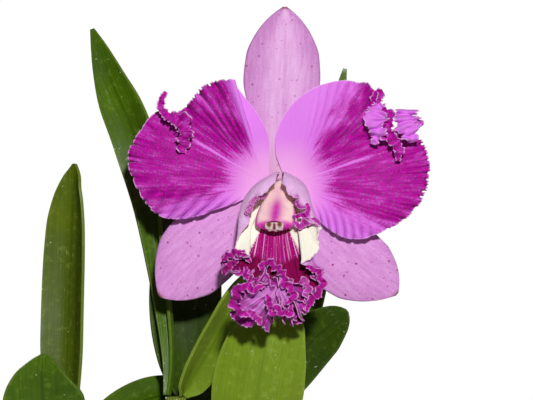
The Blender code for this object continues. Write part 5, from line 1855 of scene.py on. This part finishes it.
# %% Bark recipe
BARK_LEVEL = 90.0
BARK_DOME = 5.0
BARK_DOME_RADIUS = 63.0
CHIP_CIRCLE = 53.5
POT_FLOOR = 8.0
POT_HEIGHT = 104.0
POT_FLOOR_RADIUS = 45.0
POT_WIDENING = 21.0


def inner_radius(level):
    return POT_FLOOR_RADIUS + POT_WIDENING * (level - POT_FLOOR) / (POT_HEIGHT - POT_FLOOR)


def bark_recipe(material):
    """Chips scattered over the upward faces of the base, which stays under them."""
    made = Recipe("Bark chips", Spacing=0.009, Long=0.015, Wide=0.010, High=0.006, Rough=0.004, Seed=7)
    base = made.start.outputs[0]
    upward = made.math("GREATER_THAN", made.parts(made.normal())["Z"], 0.9)
    level = made.vector("MULTIPLY", made.place(), (1.0, 1.0, 0.0))
    from_axis = made.add("ShaderNodeVectorMath", {0: level}, operation="LENGTH").outputs["Value"]
    inside = made.math("LESS_THAN", from_axis, CHIP_CIRCLE * MM)
    values = {
        "Mesh": base, "Selection": made.times(upward, inside),
        "Distance Min": made.size("Spacing"), "Density Max": 30000.0, "Seed": made.size("Seed"),
    }
    scatter = made.add("GeometryNodeDistributePointsOnFaces", values, distribute_method="POISSON")
    values = {"X": made.size("Long"), "Y": made.size("Wide"), "Z": made.size("High")}
    size = made.add("ShaderNodeCombineXYZ", values)
    values = {"Size": size.outputs[0], "Vertices X": 9, "Vertices Y": 7, "Vertices Z": 5}
    chip = made.add("GeometryNodeMeshCube", values).outputs["Mesh"]
    values = {
        "Points": scatter.outputs["Points"], "Instance": chip,
        "Rotation": made.random((-0.4, -0.4, 0.0), (0.4, 0.4, math.tau), 3),
        "Scale": made.random((0.6, 0.6, 0.6), (1.15, 1.15, 1.3), 5),
    }
    chips = made.add("GeometryNodeInstanceOnPoints", values).outputs[0]
    chance = made.add("FunctionNodeRandomValue", {"Seed": 8}, data_type="FLOAT").outputs[1]
    chips = made.store(chips, "shade", chance, "INSTANCE")
    whole = made.add("GeometryNodeRealizeInstances", {"Geometry": chips}).outputs[0]
    joined_up = made.add("GeometryNodeJoinGeometry", {})
    made.tree.links.new(whole, joined_up.inputs[0])
    made.tree.links.new(base, joined_up.inputs[0])
    pushed = made.noise(150.0, 1.0, 3.0).outputs["Color"]
    offset = made.vector("SCALE", made.vector("SUBTRACT", pushed, (0.5, 0.5, 0.5)), made.size("Rough"))
    # Only what lies above the dome's edge is roughened, so the sides stay inside the pot.
    high = made.math("GREATER_THAN", made.parts(made.place())["Z"], (BARK_LEVEL + 0.5) * MM)
    body = made.moved(joined_up.outputs[0], Selection=high, Offset=offset)
    return made.finish(body, material)


# %% Bark
def lathe(name, profile, sides):
    """A turned body from a profile of radius and level in millimetres, ends near the axis."""
    angle = np.linspace(0, 2 * np.pi, sides, endpoint=False)
    rings = [
        np.stack([radius * np.cos(angle), radius * np.sin(angle), np.full(sides, float(level))], axis=-1)
        for radius, level in profile
    ]
    return ring_body(name, rings)


def bark():
    """The dome and its wall, turned as one core that the chips are scattered on."""
    bottom = POT_FLOOR + 0.3
    dome = [
        (radius, BARK_LEVEL + BARK_DOME * (1 - (radius / BARK_DOME_RADIUS) ** 2))
        for radius in np.linspace(0.5, BARK_DOME_RADIUS - 1, 26)
    ]
    wall = [(inner_radius(level) - 0.4, level) for level in np.linspace(BARK_LEVEL - 0.5, bottom, 12)]
    core = lathe("bark_core", [*dome, *wall, (0.5, bottom)], 96)
    piece = baked("bark_chips", core.data, bark_recipe(bark_finish()))
    bpy.data.objects.remove(core, do_unlink=True)
    settle(piece, "bark", "bark")


bark()

# %% [markdown]
# The pot is thrown red clay, fired without a glaze.  Water draws lime through its wall, which
# dries as a white bloom, and the potter's fingers leave fine rings.  A turned profile with small
# rounded corners gives the body, and four holes are cut through its floor.


# %% Pot finish
def clay_finish():
    made = Shader("clay fired red", roughness=0.9, specular=0.2)
    place = made.place()
    mottle = made.noise(place, 24.0, 5.0, 0.6)
    colour = made.blend(mottle, 0.3, 0.7, (164, 84, 50), (198, 116, 76))
    rings = made.drawn_out(place, (8.0, 8.0, 620.0), 3.0, 0.6)
    colour = made.blend(rings, 0.45, 0.7, colour, (214, 140, 102), 0.35)
    height = made.add("ShaderNodeSeparateXYZ")
    made.link(place, height.inputs[0])
    level = height.outputs["Z"]
    bloom = made.drawn_out(place, (38.0, 38.0, 60.0), 6.0, 0.7)
    lime = made.between(bloom, 0.42, 0.66)
    low = made.times(lime, made.between(level, 0.07, 0.0, 0.25, 0.9))
    colour = made.mix(low, colour, (226, 206, 186))
    bare = made.between(bloom, 0.6, 0.44)
    damp = made.times(bare, made.between(level, 0.06, 0.1, 0.0, 0.4))
    colour = made.mix(damp, colour, (120, 62, 40))
    specks = made.times(made.spots(place, 300.0, 0.14), 0.6)
    made.colour(made.mix(specks, colour, (92, 50, 34)))
    made.roughness(made.between(bloom, 0.3, 0.7, 0.82, 0.98))
    made.bump(made.summed((rings, 0.6), (mottle, 0.4)), 0.5, 0.35)
    return made.material


# %% Pot
POT_CORNERS = (
    (0.5, 8.0, 0), (45.0, 8.0, 4.0), (65.6, 102.0, 1.4), (68.0, 104.0, 1.6), (73.0, 104.0, 1.8),
    (75.0, 102.0, 1.6), (73.5, 84.0, 1.0), (71.5, 82.0, 1.2), (66.2, 81.0, 1.5), (51.0, 3.0, 2.5),
    (48.0, 0.0, 1.5), (0.5, 0.0, 0),
)
DRAIN_RADIUS = 5.0
DRAIN_CIRCLE = 29.0


def rounded_profile(corners, steps):
    """The corners of a profile, each rounded by a curve that starts its given length before it."""
    made = []
    for k, (radius, level, cut) in enumerate(corners):
        here = np.array([radius, level])
        if not cut:
            made.append(here)
            continue
        before, after = (np.array(corners[j][:2]) for j in (k - 1, k + 1))
        start = here + (before - here) / np.linalg.norm(before - here) * cut
        end = here + (after - here) / np.linalg.norm(after - here) * cut
        for t in np.linspace(0, 1, steps):
            made.append((1 - t) ** 2 * start + 2 * t * (1 - t) * here + t**2 * end)
    return made


def pot():
    """The turned body with four drain holes cut through its floor."""
    body = lathe("pot_turned", rounded_profile(POT_CORNERS, 6), 128)
    cutters = []
    for k in range(4):
        angle = math.radians(45 + 90 * k)
        place = (math.cos(angle) * DRAIN_CIRCLE * MM, math.sin(angle) * DRAIN_CIRCLE * MM, 0)
        bpy.ops.mesh.primitive_cylinder_add(
            vertices=48, radius=DRAIN_RADIUS * MM, depth=3 * POT_FLOOR * MM, location=place
        )
        cutters.append(bpy.context.object)
        hole = body.modifiers.new("Drain hole", "BOOLEAN")
        hole.operation = "DIFFERENCE"
        hole.object = cutters[-1]
    graph = bpy.context.evaluated_depsgraph_get()
    mesh = bpy.data.meshes.new_from_object(body.evaluated_get(graph), depsgraph=graph)
    body.modifiers.clear()
    body.data = mesh
    for cutter in cutters:
        bpy.data.objects.remove(cutter, do_unlink=True)
    mesh.shade_smooth()
    mesh.set_sharp_from_angle(angle=math.radians(50))
    dress(body, clay_finish(), "clay", "pot")


pot()

# %% [markdown]
# Floor, light and camera come last.  The photograph was lit from just above the lens, which makes
# crisp dark shadows behind the flower, on a plain white ground.  Two soft lights at the back serve
# the views from there, and hardly change this one.

# %% Stage, light and camera
CAMERA_DISTANCE = 0.9
PHOTO_SIZE = (533, 400)
MM_PER_PIXEL = 0.4918
VIEW_CENTRE = Vector((34.9, -22.0, 310.6)) * MM
FLOOR_RADIUS, FLOOR_DEPTH = 0.45, 0.004
WORLD_LIGHT = 0.015


def floor():
    bpy.ops.mesh.primitive_cylinder_add(
        vertices=96, radius=FLOOR_RADIUS, depth=FLOOR_DEPTH, location=(0, 0, -FLOOR_DEPTH / 2)
    )
    disc = bpy.context.object
    disc.name = "floor_disc"
    made = Shader("floor pale grey", roughness=0.7)
    grain = made.noise(made.place(), 60.0, 3.0)
    made.colour(made.blend(grain, 0.3, 0.7, (208, 208, 206), (216, 216, 214)))
    disc.data.materials.append(made.material)


def camera():
    data = bpy.data.cameras.new("camera")
    data.sensor_width = 36.0
    data.lens = data.sensor_width * CAMERA_DISTANCE / (PHOTO_SIZE[0] * MM_PER_PIXEL * MM)
    made = placed("camera", data)
    made.location = VIEW_CENTRE - Vector((0, CAMERA_DISTANCE, 0))
    made.rotation_euler = (math.radians(90), 0, 0)
    bpy.context.scene.camera = made


def area_light(name, place, target, size, power):
    data = bpy.data.lights.new(name, "AREA")
    data.size = size
    data.energy = power
    made = placed(name, data)
    made.location = place
    made.visible_camera = False
    made.rotation_euler = (Vector(target) - Vector(place)).to_track_quat("-Z", "Y").to_euler()


def white_world():
    """White where the camera sees it, and a weak even light for everything else."""
    world = bpy.data.worlds.new("white ground")
    bpy.context.scene.world = world
    world.use_nodes = True
    tree = world.node_tree
    back = tree.nodes["Background"]
    ray = tree.nodes.new("ShaderNodeLightPath")
    seen = tree.nodes.new("ShaderNodeMapRange")
    tree.links.new(ray.outputs["Is Camera Ray"], seen.inputs["Value"])
    seen.inputs["To Min"].default_value = WORLD_LIGHT
    seen.inputs["To Max"].default_value = 1.0
    tree.links.new(seen.outputs["Result"], back.inputs["Strength"])
    back.inputs["Color"].default_value = (1, 1, 1, 1)


floor()
camera()
area_light("key_above_lens", (0.12, -1.05, 0.64), (0.03, 0, 0.3), 0.07, 11.6)
area_light("back_left", (-0.8, 1.0, 0.75), (0, 0, 0.2), 0.6, 6.5)
area_light("back_right", (0.95, 0.75, 0.6), (0, 0, 0.2), 0.6, 4.5)
white_world()
bpy.context.scene.view_settings.view_transform = "Standard"
